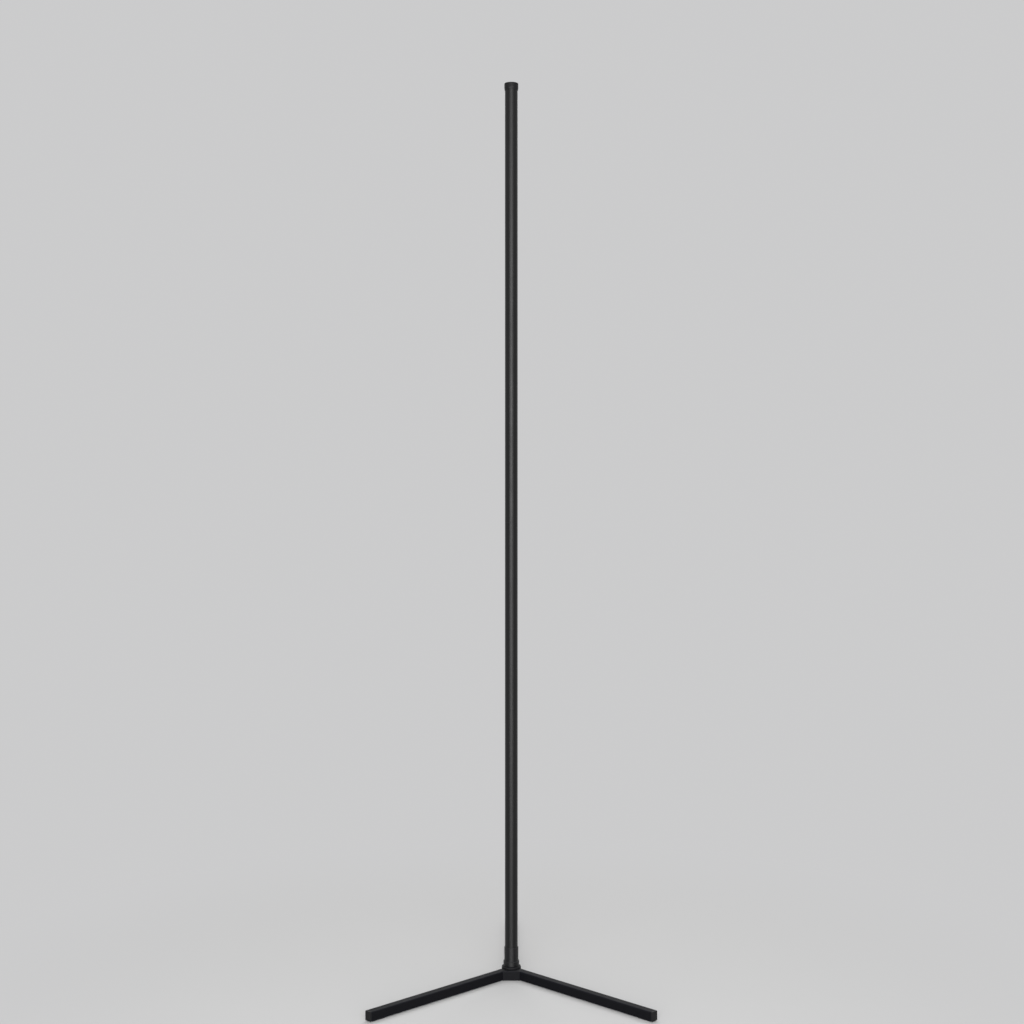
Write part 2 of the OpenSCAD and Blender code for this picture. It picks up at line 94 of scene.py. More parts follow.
def placeCamera():
    lens = bpy.data.cameras.new("photoCamera")
    lens.lens, lens.sensor_width = view["lens"], view["sensor"]
    lens.clip_end = 200
    camera = bpy.data.objects.new("photoCamera", lens)
    camera.location = view["eye"]
    camera.rotation_euler = (math.radians(90), 0, 0)
    bpy.context.collection.objects.link(camera)
    bpy.context.scene.camera = camera


studio = {
    "backdrop": (0.60, 0.60, 0.605),
    "ambient": 0.22,  # what the room gives from all around
    "floor": (0.55, 0.55, 0.55),
    "floorRadius": 40.0,
    "fadeFrom": 0.35,  # where the floor starts to turn into the backdrop
    "fadeTo": 0.95,
    "lamps": {
        # name: (place, aimed at, width, height, power)
        "frontSoftbox": ((0, -2.6, 1.02), (0, 0, 0.95), 3.7, 1.9, 62),
        "frontStrip": ((0, -2.55, 0.88), (0, 0, 0.85), 1.6, 1.7, 38),
        "rearSoftbox": ((0.3, 2.8, 3.2), (0, 0, 0.6), 2.4, 2.0, 60),
        "overheadSoftbox": ((0, 1.0, 4.6), (0, 1.0, 0), 6.0, 6.0, 120),
    },
}


def aim(thing, at):
    away = np.array(at, float) - np.array(thing.location, float)
    flat = math.hypot(away[0], away[1])
    thing.rotation_euler = (math.atan2(flat, -away[2]), 0, math.atan2(-away[0], away[1]))


def placeLamps():
    for name, (place, at, width, height, power) in studio["lamps"].items():
        lamp = bpy.data.lights.new(name, "AREA")
        lamp.shape, lamp.size, lamp.size_y, lamp.energy = "RECTANGLE", width, height, power
        thing = bpy.data.objects.new(name, lamp)
        thing.location = place
        aim(thing, at)
        thing.visible_camera = False  # the other views look towards some of the lamps
        bpy.context.collection.objects.link(thing)


def emptied(owner):
    owner.use_nodes = True
    owner.node_tree.nodes.clear()
    return owner.node_tree


def mixInto(tree, output, amount, first, second):
    # the two shaders mixed by the amount into the tree's output
    mix = add(tree, "MixShader", {0: amount, 1: first.outputs[0], 2: second.outputs[0]})
    add(tree, "Output" + output, {"Surface": mix.outputs[0]})


def lightRoom():
    # camera, glossy and transmission rays see the pale backdrop, and the others a faint white room
    world = bpy.data.worlds.new("studioRoom")
    bpy.context.scene.world = world
    tree = emptied(world)
    path = add(tree, "LightPath").outputs
    seen = sums(tree, "MAXIMUM", path["Is Camera Ray"], path["Is Glossy Ray"])
    seen = sums(tree, "MAXIMUM", seen, path["Is Transmission Ray"])
    room = add(tree, "Background", {"Color": (1, 1, 1, 1), "Strength": studio["ambient"]})
    mixInto(tree, "World", seen, room, add(tree, "Background", {"Color": (*studio["backdrop"], 1)}))


def layFloor():
    # a disc whose colour turns into the backdrop's with its distance from the lamp
    angle = np.linspace(0, 2 * np.pi, 128, endpoint=False)
    rim = np.stack([np.cos(angle), np.sin(angle), 0 * angle], 1) * studio["floorRadius"]
    mesh = bpy.data.meshes.new("studioFloor")
    mesh.from_pydata(rim.tolist(), [], [list(range(len(rim)))])
    floor = bpy.data.objects.new("studioFloor", mesh)
    bpy.context.collection.objects.link(floor)
    material = bpy.data.materials.new("studioFloor")
    tree = emptied(material)
    away = length(tree, add(tree, "TexCoord").outputs["Object"])
    fade = spread(tree, away, studio["fadeFrom"], studio["fadeTo"], curve="SMOOTHSTEP")
    mixInto(tree, "Material", fade, add(tree, "BsdfDiffuse", {"Color": (*studio["floor"], 1)}),
            add(tree, "Emission", {"Color": (*studio["backdrop"], 1)}))
    mesh.materials.append(material)


placeCamera()
placeLamps()
lightRoom()
layFloor()
bpy.context.scene.view_settings.view_transform = "Standard"
print("camera, lamps and floor placed")


def newGroup(name, ins, outs):
    # ins holds each input's first value, or None for a vector, and outs what changes over the surface
    tree = bpy.data.node_groups.new(name, "ShaderNodeTree")
    for label, value in ins.items():
        kind = "NodeSocketVector" if value is None else "NodeSocketFloat"
        socket = tree.interface.new_socket(label, in_out="INPUT", socket_type=kind)
        if value is not None:
            socket.default_value = value
    for label in outs:
        tree.interface.new_socket(label, in_out="OUTPUT", socket_type="NodeSocketFloat")
    return tree, tree.nodes.new("NodeGroupInput").outputs, tree.nodes.new("NodeGroupOutput")


def makeCoatGroup():
    # powder coat or moulded grain: a shallow peel, Size mm wide, with finer pimples in it
    tree, given, out = newGroup("coatPeel", {"Vector": None, "Size": 1.1}, ["Height", "Tone"])
    finer, share = 3.7, 0.35  # how much finer the pimples are, and their height beside the peel's
    scale = sums(tree, "DIVIDE", 1 / mm, given["Size"])
    peel = noise(tree, given["Vector"], scale, detail=2.0, roughness=0.45)
    pimples = noise(tree, given["Vector"], sums(tree, "MULTIPLY", scale, finer), detail=1.0)
    feed(tree, out, {"Height": plus(tree, peel, (pimples, share)), "Tone": spread(tree, peel, 0.3, 0.7)})
    return tree


def makeDrawnGroup():
    # drawn or turned lines, Pitch mm apart: Across runs over the lines and Along with them, in metres
    tree, given, out = newGroup("drawnLines", {"Across": None, "Along": 0.0, "Pitch": 0.25},
                                ["Height", "Tone"])
    drift, wider = 0.004, 0.12  # how slowly a line changes along its run, and the scale of the bands
    scale = sums(tree, "DIVIDE", 1 / mm, given["Pitch"])
    shift = add(tree, "CombineXYZ", {"Z": sums(tree, "MULTIPLY", given["Along"], drift)})
    place = add(tree, "VectorMath", {0: given["Across"], 1: shift.outputs[0]}, operation="ADD").outputs[0]
    lines = noise(tree, place, scale, detail=3.0, roughness=0.6)
    bands = noise(tree, place, sums(tree, "MULTIPLY", scale, wider), detail=1.0)
    tone = plus(tree, sums(tree, "MULTIPLY", lines, 0.4), (bands, 0.6))
    feed(tree, out, {"Height": lines, "Tone": spread(tree, tone, 0.3, 0.7)})
    return tree


def makeHandlingGroup():
    # soft marks of hands and cloths, over several centimetres with finer clouds in them
    tree, given, out = newGroup("handlingMarks", {"Vector": None}, ["Mask"])
    wide = noise(tree, given["Vector"], 17.0, detail=4.0, roughness=0.62, distortion=0.6)
    feed(tree, out, {"Mask": spread(tree, wide, 0.42, 0.68)})
    return tree


def makeRimGroup():
    # rubbed edges: Rim is 1 on an edge of the piece, and the noise breaks it up
    tree, given, out = newGroup("rubbedRim", {"Vector": None, "Rim": 0.0, "Amount": 0.5}, ["Mask"])
    nicks = noise(tree, given["Vector"], 2200.0, detail=3.0, roughness=0.65)
    worn = sums(tree, "SUBTRACT", sums(tree, "ADD", nicks, given["Amount"]), 0.75)
    feed(tree, out, {"Mask": sums(tree, "MULTIPLY", spread(tree, worn, 0.0, 0.25), given["Rim"])})
    return tree


def makeDustGroup():
    # dust, in grains and clouds, that settles on what faces up
    tree, given, out = newGroup("settledDust", {"Vector": None, "Amount": 0.1}, ["Mask"])
    facing = add(tree, "SeparateXYZ", {0: add(tree, "NewGeometry").outputs["Normal"]}).outputs["Z"]
    grains, clouds = [noise(tree, given["Vector"], scale, detail=2.0) for scale in (1600.0, 60.0)]
    speck = spread(tree, sums(tree, "MULTIPLY", grains, clouds), 0.18, 0.42)
    settled = sums(tree, "MULTIPLY", speck, spread(tree, facing, 0.6, 1.0))
    feed(tree, out, {"Mask": sums(tree, "MULTIPLY", settled, given["Amount"])})
    return tree


groups = {"coat": makeCoatGroup(), "drawn": makeDrawnGroup(), "handling": makeHandlingGroup(),
          "rim": makeRimGroup(), "dust": makeDustGroup()}


def useGroup(tree, name, **links):
    node = tree.nodes.new("ShaderNodeGroup")
    node.node_tree = groups[name]
    return feed(tree, node, links).outputs


def unit(v):
    # v / |v|, row by row
    v = np.asarray(v, float)
    return v / np.linalg.norm(v, axis=-1, keepdims=True)


def onCircle(radius, angles):
    # radius * (cos a, sin a)
    return radius * np.stack([np.cos(angles), np.sin(angles)], -1)


def inset(outline, depth):
    # the outline moved inwards along its mitred corner directions
    before, after = unit(outline - np.roll(outline, 1, 0)), unit(np.roll(outline, -1, 0) - outline)
    n1 = np.stack([before[:, 1], -before[:, 0]], 1)
    n2 = np.stack([after[:, 1], -after[:, 0]], 1)
    return outline - turnSense(outline) * depth * (n1 + n2) / (1 + (n1 * n2).sum(1, keepdims=True))


def turnSense(outline):
    # 1 for an outline that runs anticlockwise, -1 for a clockwise one
    x, y = outline.T
    return np.sign((x * np.roll(y, -1) - y * np.roll(x, -1)).sum())


def arcCorners(p, r, support, steps):
    # each corner as a point before it, an arc of centre + radius * (cos, sin) between the two
    # tangent points, and a point after it
    back, ahead = np.roll(p, 1, 0) - p, np.roll(p, -1, 0) - p
    run = np.linalg.norm(ahead, axis=1)
    u, v = unit(back), unit(ahead)
    half = np.arccos(np.clip((u * v).sum(1), -1, 1)) / 2
    soft = (r > 0) & (half < np.pi / 2 - 1e-3)
    reach = np.where(soft, r / np.tan(half), 0)
    towards = unit(np.where(soft[:, None], u + v, v))
    centre = p + np.where(soft, r / np.sin(half), 0)[:, None] * towards
    start, end = p + u * reach[:, None] - centre, p + v * reach[:, None] - centre
    first = np.arctan2(start[:, 1], start[:, 0])
    turn = (np.arctan2(end[:, 1], end[:, 0]) - first + np.pi) % (2 * np.pi) - np.pi
    angle = first[:, None] + turn[:, None] * np.linspace(0, 1, steps)
    arc = centre[:, None] + np.where(soft, r, 0)[:, None, None] * onCircle(1.0, angle)
    hold = np.minimum(support, 0.4 * (run - reach - np.roll(reach, -1)))
    before = np.where(soft[:, None], p + u * (reach + np.roll(hold, 1))[:, None], p)
    after = np.where(soft[:, None], p + v * (reach + hold)[:, None], p)
    points = np.concatenate([before[:, None], arc, after[:, None]], 1).reshape(-1, 2)
    rim = np.zeros((len(p), steps + 2))
    rim[:, 1:-1] = soft[:, None]
    return points, rim.reshape(-1)


def rounded(corners, radius, support=0.5, steps=5, depth=0.0):
    # a closed outline with round corners and its rim values; depth moves it inwards, where its
    # convex corners turn tighter and its hollow ones wider
    p = np.asarray(corners, float)
    r = np.broadcast_to(np.asarray(radius, float), len(p))
    points, rim = arcCorners(p, r, support, steps)
    keep = np.linalg.norm(points - np.roll(points, 1, 0), axis=1) > 1e-4
    if depth:
        into, out = p - np.roll(p, 1, 0), np.roll(p, -1, 0) - p
        bend = np.sign(into[:, 0] * out[:, 1] - into[:, 1] * out[:, 0]) * turnSense(p)
        moved = np.where(r > 0, np.maximum(r - depth * bend, 0.02), 0)
        points, _ = arcCorners(inset(p, depth), moved, support, steps)
    return points[keep], rim[keep]


def rectangle(width, height, low=None, between=0):
    # the corners of an upright rectangle centred on x, from low upwards or centred, with points between
    low = -height / 2 if low is None else low
    x = width / 2
    corners = np.array([(-x, low), (x, low), (x, low + height), (-x, low + height)], float)
    t = np.linspace(0, 1, between + 1, endpoint=False)[:, None]
    return (corners[:, None] * (1 - t) + np.roll(corners, -1, 0)[:, None] * t).reshape(-1, 2)


def softLevels(low, high, edgeLow, edgeHigh, support=0.6, steps=4):
    # (inset, height, rim) steps that round a solid's lower and upper edges by quarter circles
    t = np.linspace(0, np.pi / 2, steps)
    levels = [(edgeLow + support, low, 0)]
    levels += [(edgeLow * (1 - math.sin(a)), low + edgeLow * (1 - math.cos(a)), 1) for a in t]
    levels += [(0, low + edgeLow + support, 0), (0, high - edgeHigh - support, 0)]
    levels += [(edgeHigh * (1 - math.cos(a)), high - edgeHigh * (1 - math.sin(a)), 1) for a in t]
    return levels + [(edgeHigh + support, high, 0)]


def stacked(rows, rims, closed=False):
    # rows of equal counts of 3-D points joined by quads; open stacks get a flat face at either end
    rows, rims = np.asarray(rows, float), np.asarray(rims, float)
    count, across = rows.shape[:2]
    i = np.arange(count if closed else count - 1)[:, None]
    j = np.arange(across)[None]
    nextRow, nextColumn = (i + 1) % count, (j + 1) % across
    quads = np.stack([i * across + j, i * across + nextColumn, nextRow * across + nextColumn,
                      nextRow * across + j], -1).reshape(-1, 4).tolist()
    if not closed:
        quads += [list(range(across))[::-1], list(range((count - 1) * across, count * across))]
    return rows.reshape(-1, 3), quads, rims.reshape(-1)


def levelRows(corners, radius, levels, **how):
    # one row for each level: the outline moved inwards by its depth, at its height
    rows, rims = [], []
    for depth, height, mark in levels:
        outline, rim = rounded(corners, radius, depth=depth, **how)
        rows.append(np.column_stack([outline, np.full(len(outline), height)]))
        rims.append(np.maximum(rim, mark) if mark else rim)
    return rows, rims


def carried(corners, radius, levels, **how):
    # a closed outline carried up through its levels: (outline - depth * outward, height)
    rows, rims = levelRows(corners, radius, levels, **how)
    rims[0], rims[-1] = 0 * rims[0], 0 * rims[-1]
    return stacked(rows, rims)


def turned(profile, rim, steps=96, closed=True):
    # a profile of (radius, height) turned about z: (r cos a, r sin a, h)
    angle = np.linspace(0, 2 * np.pi, steps, endpoint=False)
    profile = np.asarray(profile, float)
    ring = profile[:, 0, None, None] * onCircle(1.0, angle)
    rows = np.concatenate([ring, np.broadcast_to(profile[:, 1, None, None], ring[..., :1].shape)], 2)
    rims = np.broadcast_to(np.asarray(rim, float)[:, None], rows.shape[:2])
    points, faces, rims = stacked(rows, rims, closed)
    return points, faces if closed else faces[:-2], rims


def turnedRing(corners, radii, steps=96, support=0.5):
    # a closed section of (radius, height) with its corners rounded, turned about z
    profile, rim = rounded(corners, radii, support)
    return turned(profile, rim, steps)


def placed(shell, origin=(0, 0, 0), along=(0, 0, 1), across=(1, 0, 0)):
    # turns the shell so that its z runs along and its x across, then moves it to the origin given
    points, faces, rim = shell
    z = unit(along)
    x = unit(np.asarray(across, float) - np.dot(across, z) * z)
    return points @ np.array([x, np.cross(z, x), z]) + np.asarray(origin, float), faces, rim


def joined(shells):
    # the shells as one, each one's faces counted on past the points before them
    start, points, faces, rims = 0, [], [], []
    for p, f, r in shells:
        points.append(p)
        rims.append(r)
        faces += [[k + start for k in face] for face in f]
        start += len(p)
    return np.concatenate(points), faces, np.concatenate(rims)


closest = 1e-7  # points nearer than this, in metres, are one
sharpAngle = math.radians(35)


def cleanMesh(mesh, turnOut=False):
    tool = bmesh.new()
    tool.from_mesh(mesh)
    bmesh.ops.remove_doubles(tool, verts=tool.verts, dist=closest)
    bmesh.ops.dissolve_degenerate(tool, edges=tool.edges, dist=closest)
    if turnOut:
        bmesh.ops.recalc_face_normals(tool, faces=tool.faces)
    tool.to_mesh(mesh)
    tool.free()


def newMesh(name, shell):
    points, faces, rim = shell
    mesh = bpy.data.meshes.new(name)
    mesh.from_pydata((points * mm).tolist(), [], faces)
    mark = mesh.attributes.new("rim", "FLOAT", "POINT")
    mark.data.foreach_set("value", rim.astype(np.float32))
    cleanMesh(mesh, turnOut=True)
    thing = bpy.data.objects.new(name, mesh)
    bpy.context.collection.objects.link(thing)
    return thing


def combine(thing, shell, operation):
    # the thing with the shell's volume added to it or taken out of it
    cutter = newMesh(thing.name + "Cutter", shell)
    cut = thing.modifiers.new("cut", "BOOLEAN")
    cut.operation, cut.solver, cut.object = operation, "EXACT", cutter
    graph = bpy.context.evaluated_depsgraph_get()
    mesh = bpy.data.meshes.new_from_object(thing.evaluated_get(graph))
    thing.modifiers.clear()
    old, thing.data = thing.data, mesh
    bpy.data.meshes.remove(old)
    bpy.data.objects.remove(cutter)
    cleanMesh(mesh)


def drill(thing, holes):
    for shell in holes:
        combine(thing, shell, "DIFFERENCE")


def dress(thing, body, node, material):
    thing.data.materials.clear()
    thing.data.materials.append(material)
    thing.data.shade_smooth()
    thing.data.set_sharp_from_angle(angle=sharpAngle)
    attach(thing, body)
    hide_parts(node)


def makePiece(name, shells, body, node, material, holes=()):
    thing = newMesh(name, joined(shells))
    drill(thing, holes)
    dress(thing, body, node, material)


def solidTurned(profile, steps=48):
    # a solid turned from a profile that starts and ends on the axis, without rubbed rims
    return turned(profile, np.zeros(len(profile)), steps, closed=False)


def rod(radius, low, high, steps=48):
    # a rectangle that starts on the axis, turned about z
    return solidTurned([(0, low), (radius, low), (radius, high), (0, high)], steps)


def plainRing(part, steps=128):
    # a ring's section, anticlockwise from the foot of its bore, with an edge for each corner
    bore, radius, low, top = (part[key] for key in ("bore", "radius", "low", "top"))
    return turnedRing([(bore, low), (radius, low), (radius, top), (bore, top)], part["edges"], steps)


def hexTurned(profile, steps=48):
    # turned rows of (radius, height, six): where six is 1 the row is a hexagon, whose radius is
    # r cos 30 / cos(angle from the middle of its side)
    angle = np.linspace(0, 2 * np.pi, steps, endpoint=False)
    hexagon = math.cos(math.pi / 6) / np.cos((angle % (np.pi / 3)) - np.pi / 6)
    rows = [np.column_stack([onCircle(1.0, angle) * (r * (hexagon if six else 1 + 0 * angle))[:, None],
                             np.full(steps, z)]) for r, z, six in profile]
    points, faces, rims = stacked(rows, np.zeros((len(rows), steps)))
    return points, faces[:-2], rims


legAngles = {"left": -135, "right": -45, "rear": 90}


def heading(angle):
    a = math.radians(angle)
    return np.array([math.cos(a), math.sin(a), 0.0])


def alongLeg(shell, angle):
    # the shell's z runs out along a leg and its y upwards
    return placed(shell, along=heading(angle), across=heading(angle + 90))


leg = {
    "width": 12, "height": 14, "low": 1, "edge": 1.2, "wall": 1.5, "boreEdge": 0.3,
    "from": 24, "to": 288, "endEdge": 0.3, "screwsAt": (34, 52), "screwLength": 8,
}
baseScrew = {
    "head": 3.0, "shank": 1.5, "gap": 0.05, "low": 1, "socket": 1.1, "socketDepth": 1.2,
    "edge": 0.12, "flare": 0.2, "point": 0.3,
}


def insideLeg(slip):
    # the leg's outline drawn in by slip on every side
    return rectangle(leg["width"] - 2 * slip, leg["height"] - 2 * slip, leg["low"] + slip)


def screwHole(at, angle, length):
    # a countersunk bore from below, wider and deeper than its screw by the gap
    b = baseScrew
    head, shank, low = b["head"] + b["gap"], b["shank"] + b["gap"], b["low"]
    under, top = low - 0.5, low + length + b["gap"]
    profile = [(0, under), (head, under), (head, low), (shank, low + head - shank), (shank, top), (0, top)]
    return placed(solidTurned(profile), heading(angle) * at)


def legScrewHoles(angle):
    return [screwHole(s, angle, leg["screwLength"]) for s in leg["screwsAt"]]


def makeLegs():
    # the outer outline carried out along the leg and the bore's carried back, joined at both ends
    ends = softLevels(leg["from"], leg["to"], leg["endEdge"], leg["endEdge"], support=0.4)
    rows, rims = levelRows(insideLeg(0), leg["edge"], ends)
    inside, insideRims = levelRows(insideLeg(leg["wall"]), leg["boreEdge"],
                                   [(0, leg["to"], 0), (0, leg["from"], 0)])
    tube = stacked(rows + inside, rims + [0 * rim for rim in insideRims], closed=True)
    for name, node in (("left", "front_leg_left"), ("right", "front_leg_right"), ("rear", "rear_leg")):
        angle = legAngles[name]
        makePiece(name + "LegTube", [alongLeg(tube, angle)], "base", node, legCoat,
                  legScrewHoles(angle))


endCap = {
    "from": 288, "to": 290, "edge": 0.7, "backEdge": 0.15, "floor": 1,
    "plug": 12, "gap": 0.1, "wall": 1.5, "plugEdge": 0.6, "boreEdge": 0.3, "lead": (0.3, 0.4),
}


def makeEndCaps():
    # rectangles from the plug's hollow floor round its open end to the rounded outer face
    c = endCap
    start, tip = c["from"], c["from"] - c["plug"]
    slip = leg["wall"] + c["gap"]
    drawnIn, over = c["lead"]
    rows, rims = levelRows(insideLeg(slip + c["wall"]), c["boreEdge"],
                           [(0, start - c["floor"], 0), (0, tip, 0)])
    plugRows, plugRims = levelRows(insideLeg(slip), c["plugEdge"],
                                   [(drawnIn, tip, 0), (0, tip + over, 0), (0, start, 0)])
    levels = [(0.5, start, 0)] + softLevels(start, c["to"], c["backEdge"], c["edge"], support=0.25)[1:]
    plate, plateRims = levelRows(insideLeg(0), leg["edge"], levels)
    rims = [0 * rim for rim in rims + plugRims] + plateRims
    rims[-1] = 0 * rims[-1]
    cap = stacked(rows + plugRows + plate, rims)
    for name, angle in legAngles.items():
        makePiece(name + "CapPlug", [alongLeg(cap, angle)], "base", name + "_end_cap",
                  capPlastic)


hub = {
    "reach": 24, "width": 12, "middle": 15, "low": 1, "top": 15, "edgeLow": 0.4, "edgeTop": 0.9,
    "corner": 0.35, "fillet": 0.6, "arcPoints": 25,
    "seat": 12, "seatRadius": 15.1, "bore": 4.05, "pocket": 8.5, "pocketTop": 10,
    "armFrom": 22, "armTo": 60, "armSlip": 0.1, "armCorner": 0.8, "armEdge": 0.6,
    "flangeScrewAt": 12.2, "flangeScrewLength": 15,
}


def hubOutline(reach, width, middle, corner):
    # anticlockwise from the left leg: arm end, flat front, arm end, arc, rear arm end, arc
    half = math.degrees(math.asin(width / 2 / middle))
    left, right, rear = (legAngles[name] % 360 for name in ("left", "right", "rear"))

    def armEnd(angle):
        out, side = heading(angle)[:2] * reach, heading(angle + 90)[:2] * width / 2
        return [out - side, out + side], [corner] * 2

    def arc(first, last):
        points = onCircle(middle, np.radians(np.linspace(first, last, hub["arcPoints"])))
        return list(points), [hub["fillet"]] + [0] * (len(points) - 2) + [hub["fillet"]]

    runs = (armEnd(left), armEnd(right), arc(right + half, rear + 360 - half), armEnd(rear),
            arc(rear + half, left - half))
    points, radii = (sum(parts, []) for parts in zip(*runs))
    return np.array(points), np.array(radii, float)


def makeHub():
    # the outline carried upwards, an arm joined in for each leg, and rods and screw holes cut out
    h = hub
    outline = hubOutline(h["reach"], h["width"], h["middle"], h["corner"])
    body = carried(*outline, softLevels(h["low"], h["top"], h["edgeLow"], h["edgeTop"], support=0.4))
    arm = carried(insideLeg(leg["wall"] + h["armSlip"]), h["armCorner"],
                  softLevels(h["armFrom"], h["armTo"], 0.1, h["armEdge"], support=0.2))
    thing = newMesh("hubCasting", body)
    for angle in legAngles.values():
        combine(thing, alongLeg(arm, angle), "UNION")
    holes = [rod(h["seatRadius"], h["seat"], h["top"] + 1, steps=128),
             rod(h["bore"], h["low"] - 1, h["top"]),
             rod(h["pocket"], h["low"] - 1, h["pocketTop"], steps=64)]
    for angle in legAngles.values():
        holes += legScrewHoles(angle) + [screwHole(h["flangeScrewAt"], angle, h["flangeScrewLength"])]
    drill(thing, holes)
    dress(thing, "base", "hub", hubCoat)


pads = {
    "thick": 1, "edge": 0.25, "corner": 0.8, "from": 262, "to": 286, "width": 9.6,
    "margin": 1.2,  # how much smaller the hub's pad is than the hub's outline
}


def makePads():
    # rectangles, and the hub's outline with a margin taken off, carried up by their thickness
    p = pads
    levels = softLevels(0, p["thick"], p["edge"], p["edge"], support=0.15)
    pad = carried(rectangle(p["to"] - p["from"], p["width"]), p["corner"], levels)
    middle = (p["to"] + p["from"]) / 2
    for name, angle in legAngles.items():
        makePiece(name + "TipPad", [placed(pad, heading(angle) * middle, across=heading(angle))],
                  "base", name + "_tip_pad", padRubber)
    sizes = [hub[key] - p["margin"] for key in ("reach", "width", "middle")]
    makePiece("hubUndersidePad", [carried(*hubOutline(*sizes, p["corner"]), levels)], "base", "hub_pad",
              padRubber)


def makeBaseScrews():
    b = baseScrew
    head, shank, socket, depth = (b[key] for key in ("head", "shank", "socket", "socketDepth"))
    edge, flare, point = b["edge"], b["flare"], b["point"]
    sets = (("legScrewSet", "leg_screws", leg["screwsAt"], leg["screwLength"]),
            ("flangeScrewSet", "flange_screws", (hub["flangeScrewAt"],), hub["flangeScrewLength"]))
    for name, node, at, length in sets:
        # from the socket's floor round the countersunk head to the point
        screw = hexTurned([(0, depth, 0), (socket, depth, 1), (socket, edge, 1), (socket + flare, 0, 0),
                           (head - flare, 0, 0), (head, edge, 0), (head - 0.1, 0.25, 0),
                           (shank, head - shank, 0), (shank, length - point, 0),
                           (shank - point, length, 0), (0, length, 0)])
        screws = [placed(screw, heading(a) * s + (0, 0, b["low"])) for a in legAngles.values() for s in at]
        makePiece(name, screws, "base", node, brightSteel)


flange = {"radius": 15, "low": 12, "top": 18, "edge": 1.5, "bore": 4.05, "recess": 9.6, "floor": 17.5,
          "softEdge": 0.2, "boreEdge": 0.1, "screwTop": 16.05}


def makeFlange():
    # a stepped section turned about the axis, with a rod cut out for each screw
    f = flange
    ring = turnedRing([(f["bore"], f["low"]), (f["radius"], f["low"]), (f["radius"], f["top"]),
                       (f["recess"], f["top"]), (f["recess"], f["floor"]), (f["bore"], f["floor"])],
                      [f["softEdge"], f["softEdge"], f["edge"], f["softEdge"], 0, f["boreEdge"]], steps=128)
    hole = rod(baseScrew["shank"] + baseScrew["gap"], f["low"] - 1, f["screwTop"])
    makePiece("swivelFlange", [ring], "base", "base_flange", flangeFinish,
              [placed(hole, heading(a) * hub["flangeScrewAt"]) for a in legAngles.values()])


collar = {"bore": 10.1, "radius": 12.4, "low": 18.3, "top": 26, "edges": (0.15, 0.35, 0.5, 0.1)}
sleeve = {"bore": 10.1, "radius": 11, "low": 26, "top": 47.5, "edges": (0.1, 0.2, 0.3, 0.15)}
footScrew = {"z": 37, "angles": (30, 150), "radius": 2, "from": 5.8, "length": 5, "socket": 1.15, "gap": 0.05,
             "holeLength": 8}


def atFootScrews(shell):
    # one at each angle, with the shell's z outwards from the pole's axis
    return [placed(shell, heading(a) * footScrew["from"] + (0, 0, footScrew["z"]), heading(a), (0, 0, 1))
            for a in footScrew["angles"]]


def footScrewHoles():
    return atFootScrews(rod(footScrew["radius"] + footScrew["gap"], 0, footScrew["holeLength"]))


def makeCollar():
    # a rectangular section turned about the axis, and so is the sleeve's
    makePiece("turningCollarRing", [plainRing(collar)], "pole", "turning_collar", ringFinish)


def makeSleeve():
    makePiece("poleSleeveRing", [plainRing(sleeve)], "pole", "pole_sleeve", ringFinish,
              footScrewHoles())


def makeFootScrews():
    # from the point round the flat end to the socket's floor
    r, length, socket = (footScrew[key] for key in ("radius", "length", "socket"))
    screw = hexTurned([(0, 0, 0), (r - 0.6, 0, 0), (r, 0.5, 0), (r, length - 0.25, 0), (r - 0.2, length, 0),
                       (socket + 0.15, length, 0), (socket, length - 0.12, 1), (socket, length / 2, 1),
                       (0, length / 2 - 0.3, 0)])
    makePiece("footScrewPair", atFootScrews(screw), "pole", "foot_screws", darkSteel)


pivot = {"low": 1.8, "head": 6.5, "headTop": 6.8, "shank": 4, "top": 38.8, "socket": 2.9, "socketDepth": 3,
         "edge": 0.2, "point": 0.8}


def makePivotBolt():
    p = pivot
    low, head, shank, top, socket = (p[key] for key in ("low", "head", "shank", "top", "socket"))
    edge, point, under, floor = p["edge"], p["point"], p["headTop"], p["low"] + p["socketDepth"]
    bolt = hexTurned([(0, floor + 0.4, 0), (socket, floor, 1), (socket, low + edge, 1),
                      (socket + 0.3, low, 0), (head - 0.6, low, 0), (head - 0.15, low + edge, 0),
                      (head, low + 0.6, 0),
                      (head, under - edge, 0), (head - edge, under, 0), (shank, under, 0),
                      (shank, top - point, 0), (shank - point, top, 0), (0, top, 0)], steps=72)
    makePiece("pivotBoltTurned", [bolt], "pole", "pivot_bolt", darkSteel)


washer = {"bore": 4.1, "radius": 8, "low": 6.82, "top": 8.36, "edges": 0.2}
spring = {"bore": 4.1, "radius": 8, "low": 8.4, "top": 10, "thick": 0.9, "edge": 0.15}


def makeWasherAndSpring():
    # sections turned about the axis: a rectangle, and a parallelogram for the cone
    s = spring
    cone = turnedRing([(s["bore"], s["top"] - s["thick"]), (s["radius"], s["low"]),
                       (s["radius"], s["low"] + s["thick"]), (s["bore"], s["top"])], s["edge"], steps=72)
    makePiece("boltWasherRing", [plainRing(washer, steps=72)], "pole", "bolt_washer",
              springSteel)
    makePiece("discSpringCone", [cone], "base", "disc_spring", springSteel)


pole = {
    "radius": 10, "bore": 8.6, "slot": 11, "lip": 0.35, "innerLip": 0.25,
    "low": 26, "section": 343, "count": 4, "webRear": -2.6, "webFront": -3.8, "webFrom": 95.5,
    "webInto": 0.3,  # how far the web's ends reach into the wall that it is joined to
    "seam": 0.12, "keyHole": 1.7, "keyInset": 18, "keyReach": 6,
}


def arcRun(radius, first, last, count, spare=6.0):
    # points on an arc, with wider first and last steps that leave room to round its ends
    side = math.copysign(spare, last - first)
    angles = np.concatenate([[first], np.linspace(first + side, last - side, count), [last]])
    return onCircle(radius, np.radians(angles))


